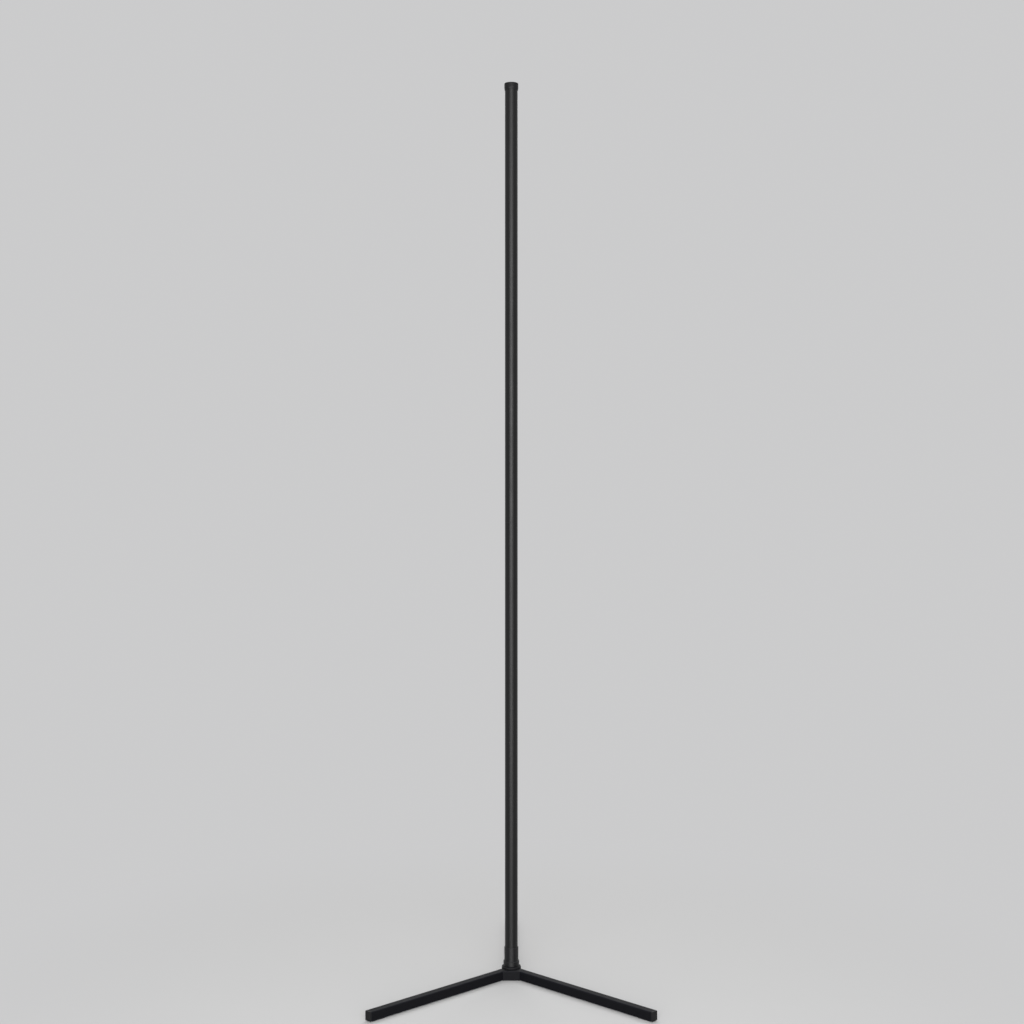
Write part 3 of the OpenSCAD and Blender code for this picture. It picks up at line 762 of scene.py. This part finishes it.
def wallOutline():
    # outer arc clockwise round the front, one lip, the bore back, the other lip
    lipOut = 90 - math.degrees(math.asin(pole["slot"] / 2 / pole["radius"]))
    lipIn = 90 - math.degrees(math.asin(pole["slot"] / 2 / pole["bore"]))
    outer = arcRun(pole["radius"], lipOut, -180 - lipOut, count=132)
    bore = arcRun(pole["bore"], -180 - lipIn, lipIn, count=108)
    radii = np.zeros(len(outer) + len(bore))
    radii[[0, len(outer) - 1]] = pole["lip"]
    radii[[len(outer), -1]] = pole["innerLip"]
    return np.concatenate([outer, bore]), radii


def makeSections():
    # each wall is its outline carried up its length; the web is joined in, and the holes come out
    into = pole["bore"] + pole["webInto"]
    corners = ((-1, pole["webFront"]), (1, pole["webFront"]), (1, pole["webRear"]), (-1, pole["webRear"]))
    web = np.array([(side * math.sqrt(into ** 2 - y ** 2), y) for side, y in corners])
    key = rod(pole["keyHole"], -pole["keyReach"], 0)
    for i in range(pole["count"]):
        low = pole["low"] + i * pole["section"]
        high = low + pole["section"]
        levels = softLevels(low, high, pole["seam"], pole["seam"], support=0.3)
        thing = newMesh("poleProfile%d" % (i + 1), carried(*wallOutline(), levels, support=0.3))
        ends = [np.column_stack([web, np.full(4, z)]) for z in (max(low, pole["webFrom"]), high)]
        combine(thing, stacked(ends, np.zeros((2, 4))), "UNION")
        keys = [low + pole["keyInset"]] * (i > 0) + [high - pole["keyInset"]] * (i < pole["count"] - 1)
        drill(thing, [placed(key, (0, 0, z), (0, 1, 0)) for z in keys])
        if i == 0:
            drill(thing, footScrewHoles())
        dress(thing, "pole", "pole_section_%d" % (i + 1), poleAnodised)


topCap = {
    "radius": 11, "top": 1400, "edge": 0.6, "band": 1393, "bandEdge": 0.4, "low": 1389, "lip": 10.35,
    "lipEdge": 0.1, "bore": 10.1, "roof": 1398, "plug": 1386, "plugGap": 0.1, "lead": (0.4, 0.6),
    "plugSpans": ((-17.6, 197.6), (205.9, 334.1)),  # behind the web and in front of it, in degrees
}


def makeTopCap():
    # a hollow section turned about the axis; each plug is an arc and its chord, carried up to the roof
    c = topCap
    corners = [(0, c["roof"]), (c["bore"], c["roof"]), (c["bore"], c["low"]), (c["lip"], c["low"]),
               (c["radius"], c["band"]), (c["radius"], c["top"]), (0, c["top"])]
    profile, rim = rounded(corners, [0, 0, 0, c["lipEdge"], c["bandEdge"], c["edge"], 0], support=0.4)
    thing = newMesh("topCapMoulding", turned(profile, rim, 128, closed=False))
    drawnIn, over = c["lead"]
    for first, last in c["plugSpans"]:
        part = onCircle(pole["bore"] - c["plugGap"], np.radians(np.linspace(first, last, 40)))
        levels = [(drawnIn, c["plug"], 0), (0, c["plug"] + over, 0), (0, c["roof"] + 0.4, 0)]
        combine(thing, carried(part, 0, levels), "UNION")
    dress(thing, "pole", "top_cap", capPlastic)


filler = {"half": 5.4, "wing": 7.0, "wingRadius": 8.5, "back": 7.1, "backHalf": 6.4}


def slotFiller(face, edge):
    # the face between the slot's lips, a step down to each wing, its blunt end, and the curved back
    half, wing, wingRadius, back, backHalf = filler.values()
    foot = math.sqrt(back ** 2 - backHalf ** 2)

    def at(radius, x):
        return math.degrees(math.acos(x / radius))

    runs = [arcRun(face, at(face, half), at(face, -half), 24, 8),
            arcRun(wingRadius, at(wingRadius, -half), at(wingRadius, -wing), 4, 3),
            [(-wing, foot)],
            arcRun(back, at(back, -backHalf), at(back, backHalf), 32, 5),
            [(wing, foot)],
            arcRun(wingRadius, at(wingRadius, wing), at(wingRadius, half), 4, 3)]
    points = np.concatenate(runs)
    radii = np.zeros(len(points))
    radii[[0, len(runs[0]) - 1]] = edge
    return points, radii


insert = {
    "low": 47.5, "top": 93.5, "face": 10.0, "edge": 0.3, "hole": 4.1, "bevel": 0.9, "bevelFrom": 8.9,
    "railAt": 5.45, "railWidth": 1.1, "railBack": -2.6, "railFront": 5.92, "railTop": 89.9, "railEdge": 0.2,
}


def makeInsert():
    # the filler's profile with a rail on either side of the jack, which the board stands against
    i = insert
    levels = softLevels(i["low"], i["top"], 0.1, 0.12, support=0.08)
    thing = newMesh("inletInsertMoulding", carried(*slotFiller(i["face"], i["edge"]), levels, support=0.3))
    rail = rectangle(i["railWidth"], i["railFront"] - i["railBack"], i["railBack"])
    levels = softLevels(i["low"] + 0.2, i["railTop"], 0.1, 0.3, support=0.1)
    for side in (-1, 1):
        combine(thing, carried(rail + (side * i["railAt"], 0), i["railEdge"], levels, support=0.1), "UNION")
    near, far = 2, i["face"] + 0.2
    hole = solidTurned([(0, near), (i["hole"], near), (i["hole"], i["bevelFrom"]),
                        (i["hole"] + i["bevel"], far), (0, far)], steps=64)
    drill(thing, [placed(hole, (0, 0, jack["z"]), (0, 1, 0))])
    dress(thing, "pole", "inlet_insert", capPlastic)


def fromSquare(corners, squares, circles):
    # one surface whose rows are first the outline, moved inwards and up by (depth, height), and then
    # circles (r cos a, r sin a, height), with a the direction of each of the outline's points
    outline = rounded(corners, 0)[0]
    angles = np.arctan2(outline[:, 1], outline[:, 0])
    rows = [(rounded(corners, 0, depth=d)[0], z) for d, z in squares]
    rows += [(onCircle(r, angles), z) for r, z in circles]
    points = [np.column_stack([p, np.full(len(p), z)]) for p, z in rows]
    return stacked(points, np.zeros((len(rows), len(outline))))


jack = {
    "z": 67.5, "back": -2.6, "width": 9, "height": 10, "edge": 0.25, "shoulder": 5.2, "nose": 4.0,
    "face": 9.0, "mouth": 3.2, "floor": -1.4, "pin": 1.05, "pinTip": 7.5,
    "solderPins": ((0, 0), (-2.25, -2.5), (2.25, -2.5)), "solderTip": -4.8,
}


def makeJack():
    # a square block, then circles up the nose, over its rim and down into the mouth
    j = jack
    nose, mouth, face, shoulder, edge = (j[key] for key in ("nose", "mouth", "face", "shoulder", "edge"))
    body = fromSquare(rectangle(j["width"], j["height"], between=11),
                      [(edge, j["back"]), (0, j["back"] + edge), (0, shoulder - edge), (edge, shoulder)],
                      [(nose + 0.02, shoulder), (nose, shoulder + 0.2), (nose, face - edge),
                       (nose - 0.08, face - 0.08), (nose - edge, face), (mouth + 0.3, face),
                       (mouth + 0.08, face - 0.1), (mouth, face - 0.4), (mouth, j["floor"])])
    makePiece("powerJackMoulding", [placed(body, (0, 0, j["z"]), (0, 1, 0))], "pole", "power_jack",
              jackPlastic)


def makeContacts():
    # sections turned about lines along y: the middle contact, and a tail for each solder pin
    j = jack
    pin, back, tip, low = j["pin"], j["back"], j["pinTip"], j["solderTip"]
    contact = solidTurned([(0, back), (pin, back), (pin, tip - 0.5), (pin - 0.15, tip - 0.15),
                           (pin - 0.45, tip), (0, tip)], steps=32)
    tail = solidTurned([(0, low), (0.35, low), (0.5, low + 0.2), (0.5, -2.0), (0, -2.0)], steps=16)
    shells = [placed(contact, (0, 0, j["z"]), (0, 1, 0))]
    shells += [placed(tail, (x, 0, j["z"] + z), (0, 1, 0)) for x, z in j["solderPins"]]
    makePiece("jackContactPins", shells, "pole", "jack_contacts", contactMetal)


board = {"low": 51, "top": 95, "width": 12, "back": -3.8, "face": -2.6, "corner": 0.4, "edge": 0.1,
         "pinHole": 0.55}


def onBoard(shell, side, z):
    # the shell's z runs away from the board's face or back, and its y upwards
    away = 1 if side == "face" else -1
    return placed(shell, (0, board[side], z), (0, away, 0), (-away, 0, 0))


def makeBoard():
    # a rectangle carried through the board's thickness, with the solder pins' holes
    b = board
    thick = b["face"] - b["back"]
    plate = carried(rectangle(b["width"], b["top"] - b["low"]), b["corner"],
                    softLevels(-thick, 0, b["edge"], b["edge"], support=0.1), support=0.3)
    hole = rod(b["pinHole"], -thick - 1, 1, steps=24)
    holes = [placed(hole, (x, b["face"], jack["z"] + z), (0, 1, 0)) for x, z in jack["solderPins"]]
    makePiece("controlBoardPlate", [onBoard(plate, "face", (b["top"] + b["low"]) / 2)], "pole",
              "control_board", laminate, holes)


controller = {
    "z": 76, "side": 5, "body": 3.9, "height": 1.0, "edge": 0.15,
    "leadsAt": (-1.8, -0.6, 0.6, 1.8), "lead": 0.4, "leadThick": 0.15, "leadHigh": 0.38,
    "dimpleAt": (-1.15, 1.75), "dimple": 0.22, "dimpleDeep": 0.07,
}


def makeControllerChip():
    # a flat package with sloping sides, on leads that step down to the board: each is a bent band of
    # (across, height), one half mirrored to the other, that is run along the package by its width
    c = controller
    thick, high, top = c["leadThick"], c["leadHigh"], c["height"]
    foot, knee = c["side"] / 2, c["body"] / 2 + thick
    bend = np.array([(knee - 0.4, high), (knee - 0.3, 0), (foot, 0), (foot, thick), (knee - 0.1, thick),
                     (knee - 0.2, high + thick)])
    band = np.roll(np.concatenate([bend, bend[::-1] * (-1, 1)]), 3, axis=0)
    levels = [(0.22, 0.1, 0), (0.0, 0.45, 0), (0.0, 0.5, 0), (0.16, top - 0.08, 0), (0.24, top, 0)]
    body = carried(rectangle(c["body"], c["side"]), c["edge"], levels, support=0.1)
    thing = newMesh("controllerPackage", onBoard(body, "back", c["z"]))
    for at in c["leadsAt"]:
        rows = [np.column_stack([band[:, 0], np.full(len(band), y), band[:, 1]])
                for y in (at - c["lead"] / 2, at + c["lead"] / 2)]
        combine(thing, onBoard(stacked(rows, np.zeros((2, len(band)))), "back", c["z"]), "UNION")
    r = c["dimple"]
    dimple = placed(solidTurned([(0, 0), (r, 0), (r + 0.1, 0.1), (r + 0.1, 1), (0, 1)], steps=24),
                    (*c["dimpleAt"], top - c["dimpleDeep"]))
    drill(thing, [onBoard(dimple, "back", c["z"])])
    dress(thing, "pole", "controller_chip", chipPackage)


capacitor = {
    "z": 76.65, "side": 6.3, "cut": 1.3, "base": 0.9, "baseEdge": 0.1, "can": 3.0, "height": 5.4,
    # (drawn in, above the base), then (drawn in, below the top)
    "groove": ((0, 0), (0, 0.5), (0.22, 0.65), (0.26, 0.8), (0.22, 0.95), (0, 1.1)),
    "lid": ((0, 0.4), (0.12, 0.12), (0.4, 0), (0.6, 0), (0.7, 0.1), (2.5, 0.1)),
}


def makeCapacitor():
    # a square base with two cut corners, and on it a can with a rolled groove and a shallow dished top
    c = capacitor
    edge, base, can = c["baseEdge"], c["base"], c["can"]
    square = rectangle(c["side"], c["side"], between=11)
    past = np.maximum(np.abs(square[:, 0]) + square[:, 1] - (c["side"] - c["cut"]), 0)[:, None]
    square = square - past / 2 * np.column_stack([np.sign(square[:, 0]), np.ones(len(square))])
    circles = [(can - d, base + z) for d, z in c["groove"]]
    circles += [(can - d, c["height"] - z) for d, z in c["lid"]]
    body = fromSquare(square, [(edge, 0), (0, edge), (0, base - edge), (edge, base)], circles)
    makePiece("capacitorCanPiece", [onBoard(body, "face", c["z"])], "pole", "smoothing_capacitor",
              capacitorCan)


receiver = {"z": 82.8, "width": 5, "tall": 4, "body": 1.7, "edge": 0.15, "lens": 1.7, "height": 3.0}


def makeReceiver():
    # a small moulded block with a round lens: heights follow sqrt(1 - (r / lens) ** 2)
    r = receiver
    dome = [(r["lens"] * math.sqrt(1 - k * k), r["body"] + k * (r["height"] - r["body"]))
            for k in np.linspace(0, 0.97, 9)]
    body = fromSquare(rectangle(r["width"], r["tall"], between=11),
                      [(r["edge"], 0), (0, r["edge"]), (0, r["body"] - 0.2), (0.2, r["body"])], dome)
    makePiece("signalReceiverBlock", [onBoard(body, "face", r["z"])], "pole", "signal_receiver",
              chipPackage)


diffuser = {"low": 93.5, "top": 1386, "face": 9.85, "edge": 0.5}


def makeDiffuser():
    # the filler's profile carried up the slot
    d = diffuser
    levels = softLevels(d["low"], d["top"], 0.12, 0.12, support=0.08)
    body = carried(*slotFiller(d["face"], d["edge"]), levels, support=0.3)
    makePiece("diffuserProfile", [body], "pole", "diffuser", diffuserSilicone)


strip = {"low": 90, "top": 1385, "width": 10, "back": -2.6, "face": -2.3, "edge": 0.08}
chips = {"first": 103.35, "pitch": 16.7, "count": 77, "side": 5, "back": -2.3, "height": 1.6, "edge": 0.12,
         "window": 2.0, "dish": (0.15, 0.35)}


def makeStrip():
    # a flat rectangle carried up the web
    s = strip
    plate = carried(rectangle(s["width"], s["face"] - s["back"]), s["edge"],
                    [(0, s["low"], 0), (0, s["top"], 0)])
    makePiece("lightStripFilm", [placed(plate, (0, (s["face"] + s["back"]) / 2, 0))], "pole", "light_strip",
              stripFilm)


def makeChips():
    # one low square body with a round dished window, repeated up the strip
    c = chips
    top, (drawnIn, down) = c["height"], c["dish"]
    chip = fromSquare(rectangle(c["side"], c["side"], between=3),
                      [(0, 0), (0, top - c["edge"]), (c["edge"], top)],
                      [(c["window"], top), (c["window"] - drawnIn, top - down)])
    shells = [placed(chip, (0, c["back"], c["first"] + i * c["pitch"]), (0, 1, 0)) for i in range(c["count"])]
    makePiece("lightChipRow", shells, "pole", "light_chips", chipBody)


dustColour = (0.30, 0.29, 0.28)


def shaderOf(tree):
    return next(node for node in tree.nodes if node.type == "BSDF_PRINCIPLED")


def startFinish(name, plain=None):
    # a material whose shader holds the plain values; gives back its tree, shader and Object coordinates
    material = bpy.data.materials.new(name)
    material.use_nodes = True
    tree = material.node_tree
    shader = feed(tree, shaderOf(tree), plain or {})
    return material, tree, shader, add(tree, "TexCoord").outputs["Object"]


def blended(tree, amount, first, second):
    first, second = (c if isinstance(c, bpy.types.NodeSocket) else (*c, 1) for c in (first, second))
    return add(tree, "Mix", {0: amount, 6: first, 7: second}, data_type="RGBA").outputs[2]


def bumped(tree, height, depth):
    return add(tree, "Bump", {"Height": height, "Distance": depth}).outputs["Normal"]


def paler(colour, gain):
    # gain * colour, with 1 as its limit
    return tuple(min(1.0, gain * c) for c in colour)


def rimOf(tree, place, amount):
    mark = add(tree, "Attribute", attribute_name="rim").outputs["Fac"]
    return useGroup(tree, "rim", Vector=place, Rim=mark, Amount=amount)["Mask"]


def aroundAxis(tree, place):
    # (radius, angle, height) of a point round the pole's axis
    x, y, z = add(tree, "SeparateXYZ", {0: place}).outputs
    flat = add(tree, "CombineXYZ", {0: x, 1: y}).outputs[0]
    return length(tree, flat), sums(tree, "ARCTAN2", y, x), z


def scaledPlace(tree, place, factors):
    return add(tree, "VectorMath", {0: place, 1: factors}, operation="MULTIPLY").outputs[0]


def drawnMetal(name, colours, rough, metallic, pitch, turnedRound=False, specular=0.5, rimAmount=0.4,
               rimGain=2.5, depth=0.000006, uneven=0.10, polish=-0.06, stretch=0.0):
    # lines drawn along the pole, or turned round it, that vary colour, roughness and bump; stretch
    # draws the highlight out along the pole
    material, tree, shader, place = startFinish(name, {"Metallic": metallic, "Specular IOR Level": specular,
                                                       "Anisotropic": stretch})
    if stretch:
        aroundPole = add(tree, "Tangent", direction_type="RADIAL", axis="Z").outputs["Tangent"]
        feed(tree, shader, {"Tangent": aroundPole, "Anisotropic Rotation": 0.25})  # a quarter turn from it
    if turnedRound:
        radius, angle, height = aroundAxis(tree, place)
        across = add(tree, "CombineXYZ", {0: radius, 1: height}).outputs[0]
        along = sums(tree, "MULTIPLY", angle, 0.012)
    else:
        across = scaledPlace(tree, place, (1, 1, 0))
        along = add(tree, "SeparateXYZ", {0: place}).outputs["Z"]
    lines = useGroup(tree, "drawn", Across=across, Along=along, Pitch=pitch)
    marks = useGroup(tree, "handling", Vector=place)["Mask"]
    colour = blended(tree, lines["Tone"], *colours)
    colour = blended(tree, rimOf(tree, place, rimAmount), colour, paler(colours[1], rimGain))
    matt = plus(tree, rough - uneven / 2, (lines["Tone"], uneven), (marks, polish))
    feed(tree, shader, {"Base Color": colour, "Roughness": matt,
                        "Normal": bumped(tree, lines["Height"], depth)})
    return material


def grainedFinish(name, colours, rough, grain, depth, specular=0.45, polish=-0.10, uneven=0.06,
                  dustAmount=0.0, dustMatt=1.0, rimAmount=0.3, rimGain=2.2):
    # powder coat or spark-eroded plastic: paler where its peel stands higher and darker where it lies lower,
    # paler at rubbed rims, smoother where it is handled, and matt with dust where there is any
    material, tree, shader, place = startFinish(name, {"Specular IOR Level": specular})
    speck = useGroup(tree, "coat", Vector=place, Size=grain)
    marks = useGroup(tree, "handling", Vector=place)["Mask"]
    colour = blended(tree, speck["Tone"], *colours)
    colour = blended(tree, rimOf(tree, place, rimAmount), colour, paler(colours[1], rimGain))
    matt = plus(tree, rough, (marks, polish), (speck["Tone"], uneven))
    if dustAmount:
        dust = useGroup(tree, "dust", Vector=place, Amount=dustAmount)["Mask"]
        colour, matt = blended(tree, dust, colour, dustColour), plus(tree, matt, (dust, dustMatt))
    feed(tree, shader, {"Base Color": colour, "Roughness": matt,
                        "Normal": bumped(tree, speck["Height"], depth)})
    return material


def otherBetween(material, low, high, colour, metallic):
    # another finish between two depths (y, in mm), such as a package's leads or a can's base
    tree = material.node_tree
    shader = shaderOf(tree)
    depth = add(tree, "SeparateXYZ", {0: add(tree, "TexCoord").outputs["Object"]}).outputs["Y"]
    mask = sums(tree, "COMPARE", depth, (low + high) / 2 * mm, (high - low) / 2 * mm)
    under = shader.inputs["Base Color"].links[0].from_socket
    plain = shader.inputs["Metallic"].default_value
    feed(tree, shader, {"Base Color": blended(tree, mask, under, colour),
                        "Metallic": spread(tree, mask, 0, 1, plain, metallic)})
    return material


glow = {
    "strength": 1.0,
    "colours": {
        # height in metres: colour of the light there, as the lamp is set in the photograph
        0.09: (0.80, 0.36, 0.07), 0.30: (0.85, 0.30, 0.16), 0.48: (0.90, 0.19, 0.33),
        0.68: (0.90, 0.05, 0.60), 0.86: (0.55, 0.06, 0.85), 1.02: (0.22, 0.20, 0.95),
        1.20: (0.05, 0.42, 1.00), 1.39: (0.04, 0.50, 1.00),
    },
    "level": 0.88, "spot": 0.07, "cloud": 0.05,  # how bright, and how much a chip or a cloud adds
    "unlit": ((0.075, 0.075, 0.075), (0.10, 0.10, 0.10)),
}


def makeSilicone():
    # milky extrusion lit from inside: the colour follows the height, with a faint spot over each chip
    material, tree, shader, place = startFinish("litSilicone", {"Emission Strength": glow["strength"],
                                                                "Specular IOR Level": 0.3})
    speck = useGroup(tree, "coat", Vector=place, Size=0.9)
    height = add(tree, "SeparateXYZ", {0: place}).outputs["Z"]
    colours = sorted(glow["colours"].items())
    low, high = colours[0][0], colours[-1][0]  # the ramp runs between these heights
    ramp = add(tree, "ValToRGB", {0: spread(tree, height, low, high)})
    stops = ramp.color_ramp.elements
    while len(stops) < len(colours):
        stops.new(0.5)
    for stop, (z, colour) in zip(stops, colours):
        stop.position, stop.color = (z - low) / (high - low), (*colour, 1)
    above = sums(tree, "SUBTRACT", height, chips["first"] * mm)
    turns = sums(tree, "DIVIDE", above, chips["pitch"] * mm)
    wave = sums(tree, "COSINE", sums(tree, "MULTIPLY", turns, 2 * math.pi))
    bright = plus(tree, glow["level"], (wave, glow["spot"]), (speck["Tone"], glow["cloud"]))
    feed(tree, shader, {"Emission Color": blended(tree, bright, (0, 0, 0), ramp.outputs["Color"]),
                        "Base Color": blended(tree, speck["Tone"], *glow["unlit"]),
                        "Roughness": plus(tree, 0.46, (speck["Tone"], 0.1)),
                        "Normal": bumped(tree, speck["Height"], 0.00001)})
    return material


def bandMask(tree, value, first, pitch, half, soft):
    # 1 within half of each of the places that repeat by pitch along the value, 0 between them
    away = sums(tree, "PINGPONG", sums(tree, "SUBTRACT", value, first), pitch / 2)
    return spread(tree, away, half, half + soft, toLow=1.0, toHigh=0.0)


film = {
    "colours": ((0.74, 0.73, 0.70), (0.82, 0.81, 0.78)), "copper": (0.72, 0.42, 0.20),
    "padHalfHeight": 1.2, "padAt": 2.4, "padHalfWidth": 0.9, "soft": 0.05,
}


def makeFilm():
    # white flexible circuit with copper pads between the chips, on either side of the middle
    material, tree, shader, place = startFinish("whiteCircuitFilm")
    speck = useGroup(tree, "coat", Vector=place, Size=0.7)
    x, _, z = add(tree, "SeparateXYZ", {0: place}).outputs
    soft = film["soft"] * mm
    first = (chips["first"] + chips["pitch"] / 2) * mm
    row = bandMask(tree, z, first, chips["pitch"] * mm, film["padHalfHeight"] * mm, soft)
    columns = bandMask(tree, sums(tree, "ABSOLUTE", x), 0.0, 2 * film["padAt"] * mm,
                       film["padHalfWidth"] * mm, soft)
    pad = sums(tree, "MULTIPLY", row, columns)
    colour = blended(tree, speck["Tone"], *film["colours"])
    feed(tree, shader, {"Base Color": blended(tree, pad, colour, film["copper"]), "Metallic": pad,
                        "Roughness": plus(tree, 0.38, (speck["Tone"], 0.1)),
                        "Normal": bumped(tree, speck["Height"], 0.000005)})
    return material


phosphor = {
    "body": ((0.78, 0.77, 0.74), (0.85, 0.84, 0.81)), "gel": ((0.72, 0.55, 0.10), (0.80, 0.64, 0.16)),
    "windowFull": 1.75, "windowEnd": 1.85,
}


def makeChipBody():
    # white package with a round yellow window over the dies
    material, tree, shader, place = startFinish("phosphorChip")
    speck = useGroup(tree, "coat", Vector=place, Size=0.5)
    x, _, z = add(tree, "SeparateXYZ", {0: place}).outputs
    above = sums(tree, "SUBTRACT", z, chips["first"] * mm)
    up = sums(tree, "PINGPONG", above, chips["pitch"] * mm / 2)
    flat = add(tree, "CombineXYZ", {0: x, 1: up}).outputs[0]
    window = spread(tree, length(tree, flat), phosphor["windowFull"] * mm, phosphor["windowEnd"] * mm,
                    toLow=1.0, toHigh=0.0)
    body, gel = (blended(tree, speck["Tone"], *phosphor[key]) for key in ("body", "gel"))
    feed(tree, shader, {"Base Color": blended(tree, window, body, gel),
                        "Roughness": plus(tree, 0.45, (window, -0.25)),
                        "Normal": bumped(tree, speck["Height"], 0.000004)})
    return material


lacquer = {"over": (0.018, 0.13, 0.055), "between": (0.010, 0.075, 0.032), "pad": (0.62, 0.60, 0.55)}


def makeLaminate():
    # green board with tracks under the lacquer and tinned pads
    material, tree, shader, place = startFinish("greenLaminate")
    speck = useGroup(tree, "coat", Vector=place, Size=0.6)
    flat = scaledPlace(tree, place, (1, 0, 1))
    tracks = add(tree, "TexBrick", {"Vector": flat, "Color1": (1, 1, 1, 1), "Color2": (0.9, 0.9, 0.9, 1),
                                    "Mortar": (0, 0, 0, 1), "Scale": 1 / mm, "Mortar Size": 0.12,
                                    "Mortar Smooth": 0.2, "Brick Width": 1.7, "Row Height": 1.1})
    tracks = tracks.outputs["Fac"]
    cells = add(tree, "TexVoronoi", {"Vector": flat, "Scale": 520.0, "Randomness": 0.65})
    pad = spread(tree, cells.outputs["Distance"], 0.20, 0.24, toLow=1.0, toHigh=0.0)
    colour = blended(tree, tracks, lacquer["over"], lacquer["between"])
    feed(tree, shader, {"Base Color": blended(tree, pad, colour, lacquer["pad"]), "Metallic": pad,
                        "Roughness": plus(tree, 0.26, (speck["Tone"], 0.08)),
                        "Normal": bumped(tree, tracks, 0.00002)})
    return material


# the darkest and the palest tone of each finish that more than one piece or line uses
blackPaint = ((0.0033, 0.0034, 0.0043), (0.0060, 0.0061, 0.0080))
blackTurned = ((0.0030, 0.0030, 0.0034), (0.0060, 0.0060, 0.0067))
leadGrey, baseBlack = (0.62, 0.61, 0.58), (0.012, 0.012, 0.013)

powder = {"rough": 0.57, "polish": -0.07, "uneven": 0.05, "dustAmount": 0.03, "dustMatt": 1.2,
          "rimAmount": 0.45, "rimGain": 1.8}
legCoat = grainedFinish("legPowderCoat", blackPaint, grain=0.8, depth=0.00004, specular=0.07, **powder)
hubCoat = grainedFinish("hubPowderCoat", blackPaint, grain=0.9, depth=0.00005, specular=0.11, **powder)
poleAnodised = drawnMetal("anodisedProfile", ((0.0030, 0.0030, 0.0031), (0.0062, 0.0062, 0.0063)), rough=0.42,
                          metallic=0.0, pitch=0.3, specular=0.29, stretch=0.70, uneven=0.18, depth=0.00001)
ringFinish = drawnMetal("turnedAnodised", blackTurned, rough=0.47, metallic=0.0, pitch=0.22,
                        turnedRound=True, specular=0.33, stretch=0.75, uneven=0.18, depth=0.000008)
flangeFinish = drawnMetal("flangeAnodised", blackTurned, rough=0.55, metallic=0.0, pitch=0.22,
                          turnedRound=True, specular=0.12, stretch=0.30, uneven=0.18, depth=0.000008)
capPlastic = grainedFinish("blackCapPlastic", ((0.0045, 0.0045, 0.0050), (0.0075, 0.0075, 0.0085)),
                           rough=0.50, grain=0.45, depth=0.000015, specular=0.18, dustAmount=0.04,
                           rimAmount=0.15)
jackPlastic = grainedFinish("jackMoulding", ((0.006, 0.006, 0.0065), (0.009, 0.009, 0.010)), rough=0.30,
                            grain=0.6, depth=0.000006)
epoxy = grainedFinish("blackEpoxy", ((0.010, 0.010, 0.011), (0.018, 0.018, 0.019)), rough=0.5, grain=0.25,
                      depth=0.000008)
chipPackage = otherBetween(epoxy, board["back"] - 0.56, board["back"], leadGrey, metallic=1.0)
padRubber = grainedFinish("padRubber", ((0.012, 0.012, 0.012), (0.022, 0.022, 0.021)), rough=0.72, grain=0.7,
                          depth=0.00005, specular=0.3, dustAmount=0.15)
slidePlastic = grainedFinish("slideDiscPlastic", ((0.66, 0.65, 0.61), (0.74, 0.73, 0.69)), rough=0.38,
                             grain=0.8, depth=0.000008)
brightSteel = drawnMetal("screwSteel", ((0.40, 0.40, 0.41), (0.52, 0.52, 0.53)), rough=0.34, metallic=1.0,
                         pitch=0.15, rimGain=1.5)
darkSteel = drawnMetal("blackenedSteel", ((0.045, 0.045, 0.048), (0.08, 0.08, 0.085)), rough=0.40,
                       metallic=1.0, pitch=0.15)
springSteel = drawnMetal("springSteel", ((0.34, 0.34, 0.36), (0.46, 0.46, 0.48)), rough=0.32, metallic=1.0,
                         pitch=0.2, turnedRound=True, rimGain=1.5)
bareAluminium = drawnMetal("bareAluminium", ((0.58, 0.58, 0.60), (0.70, 0.70, 0.72)), rough=0.36,
                           metallic=1.0, pitch=0.3, rimGain=1.3)
contactMetal = drawnMetal("platedBrass", ((0.60, 0.48, 0.24), (0.74, 0.62, 0.36)), rough=0.22, metallic=1.0,
                          pitch=0.12, rimGain=1.3)
canSleeve = drawnMetal("capacitorCan", ((0.46, 0.46, 0.48), (0.58, 0.58, 0.60)), rough=0.30, metallic=1.0,
                       pitch=0.2, rimGain=1.3)
capacitorCan = otherBetween(canSleeve, board["face"], board["face"] + 0.95, baseBlack, metallic=0.0)
diffuserSilicone, stripFilm, chipBody, laminate = makeSilicone(), makeFilm(), makeChipBody(), makeLaminate()
print("finishes made")

# the CAD nodes that stay as they are, and their finishes
keptNodes = {
    "pole_foot": bareAluminium, "joiner_1": bareAluminium, "joiner_2": bareAluminium,
    "joiner_3": bareAluminium, "thrust_disc": slidePlastic, "joiner_screws": darkSteel,
}
for name, finish in keptNodes.items():
    for place in nodes[name].material_slots:
        place.material = finish
makers = [makeLegs, makeEndCaps, makeHub, makePads, makeBaseScrews, makeFlange, makeCollar, makeSleeve,
          makeFootScrews, makePivotBolt, makeWasherAndSpring, makeSections, makeTopCap, makeInsert, makeJack,
          makeContacts, makeBoard, makeControllerChip, makeCapacitor, makeReceiver, makeDiffuser, makeStrip,
          makeChips]
for make in makers:
    make()
    print("done:", make.__name__)
print("pieces built")
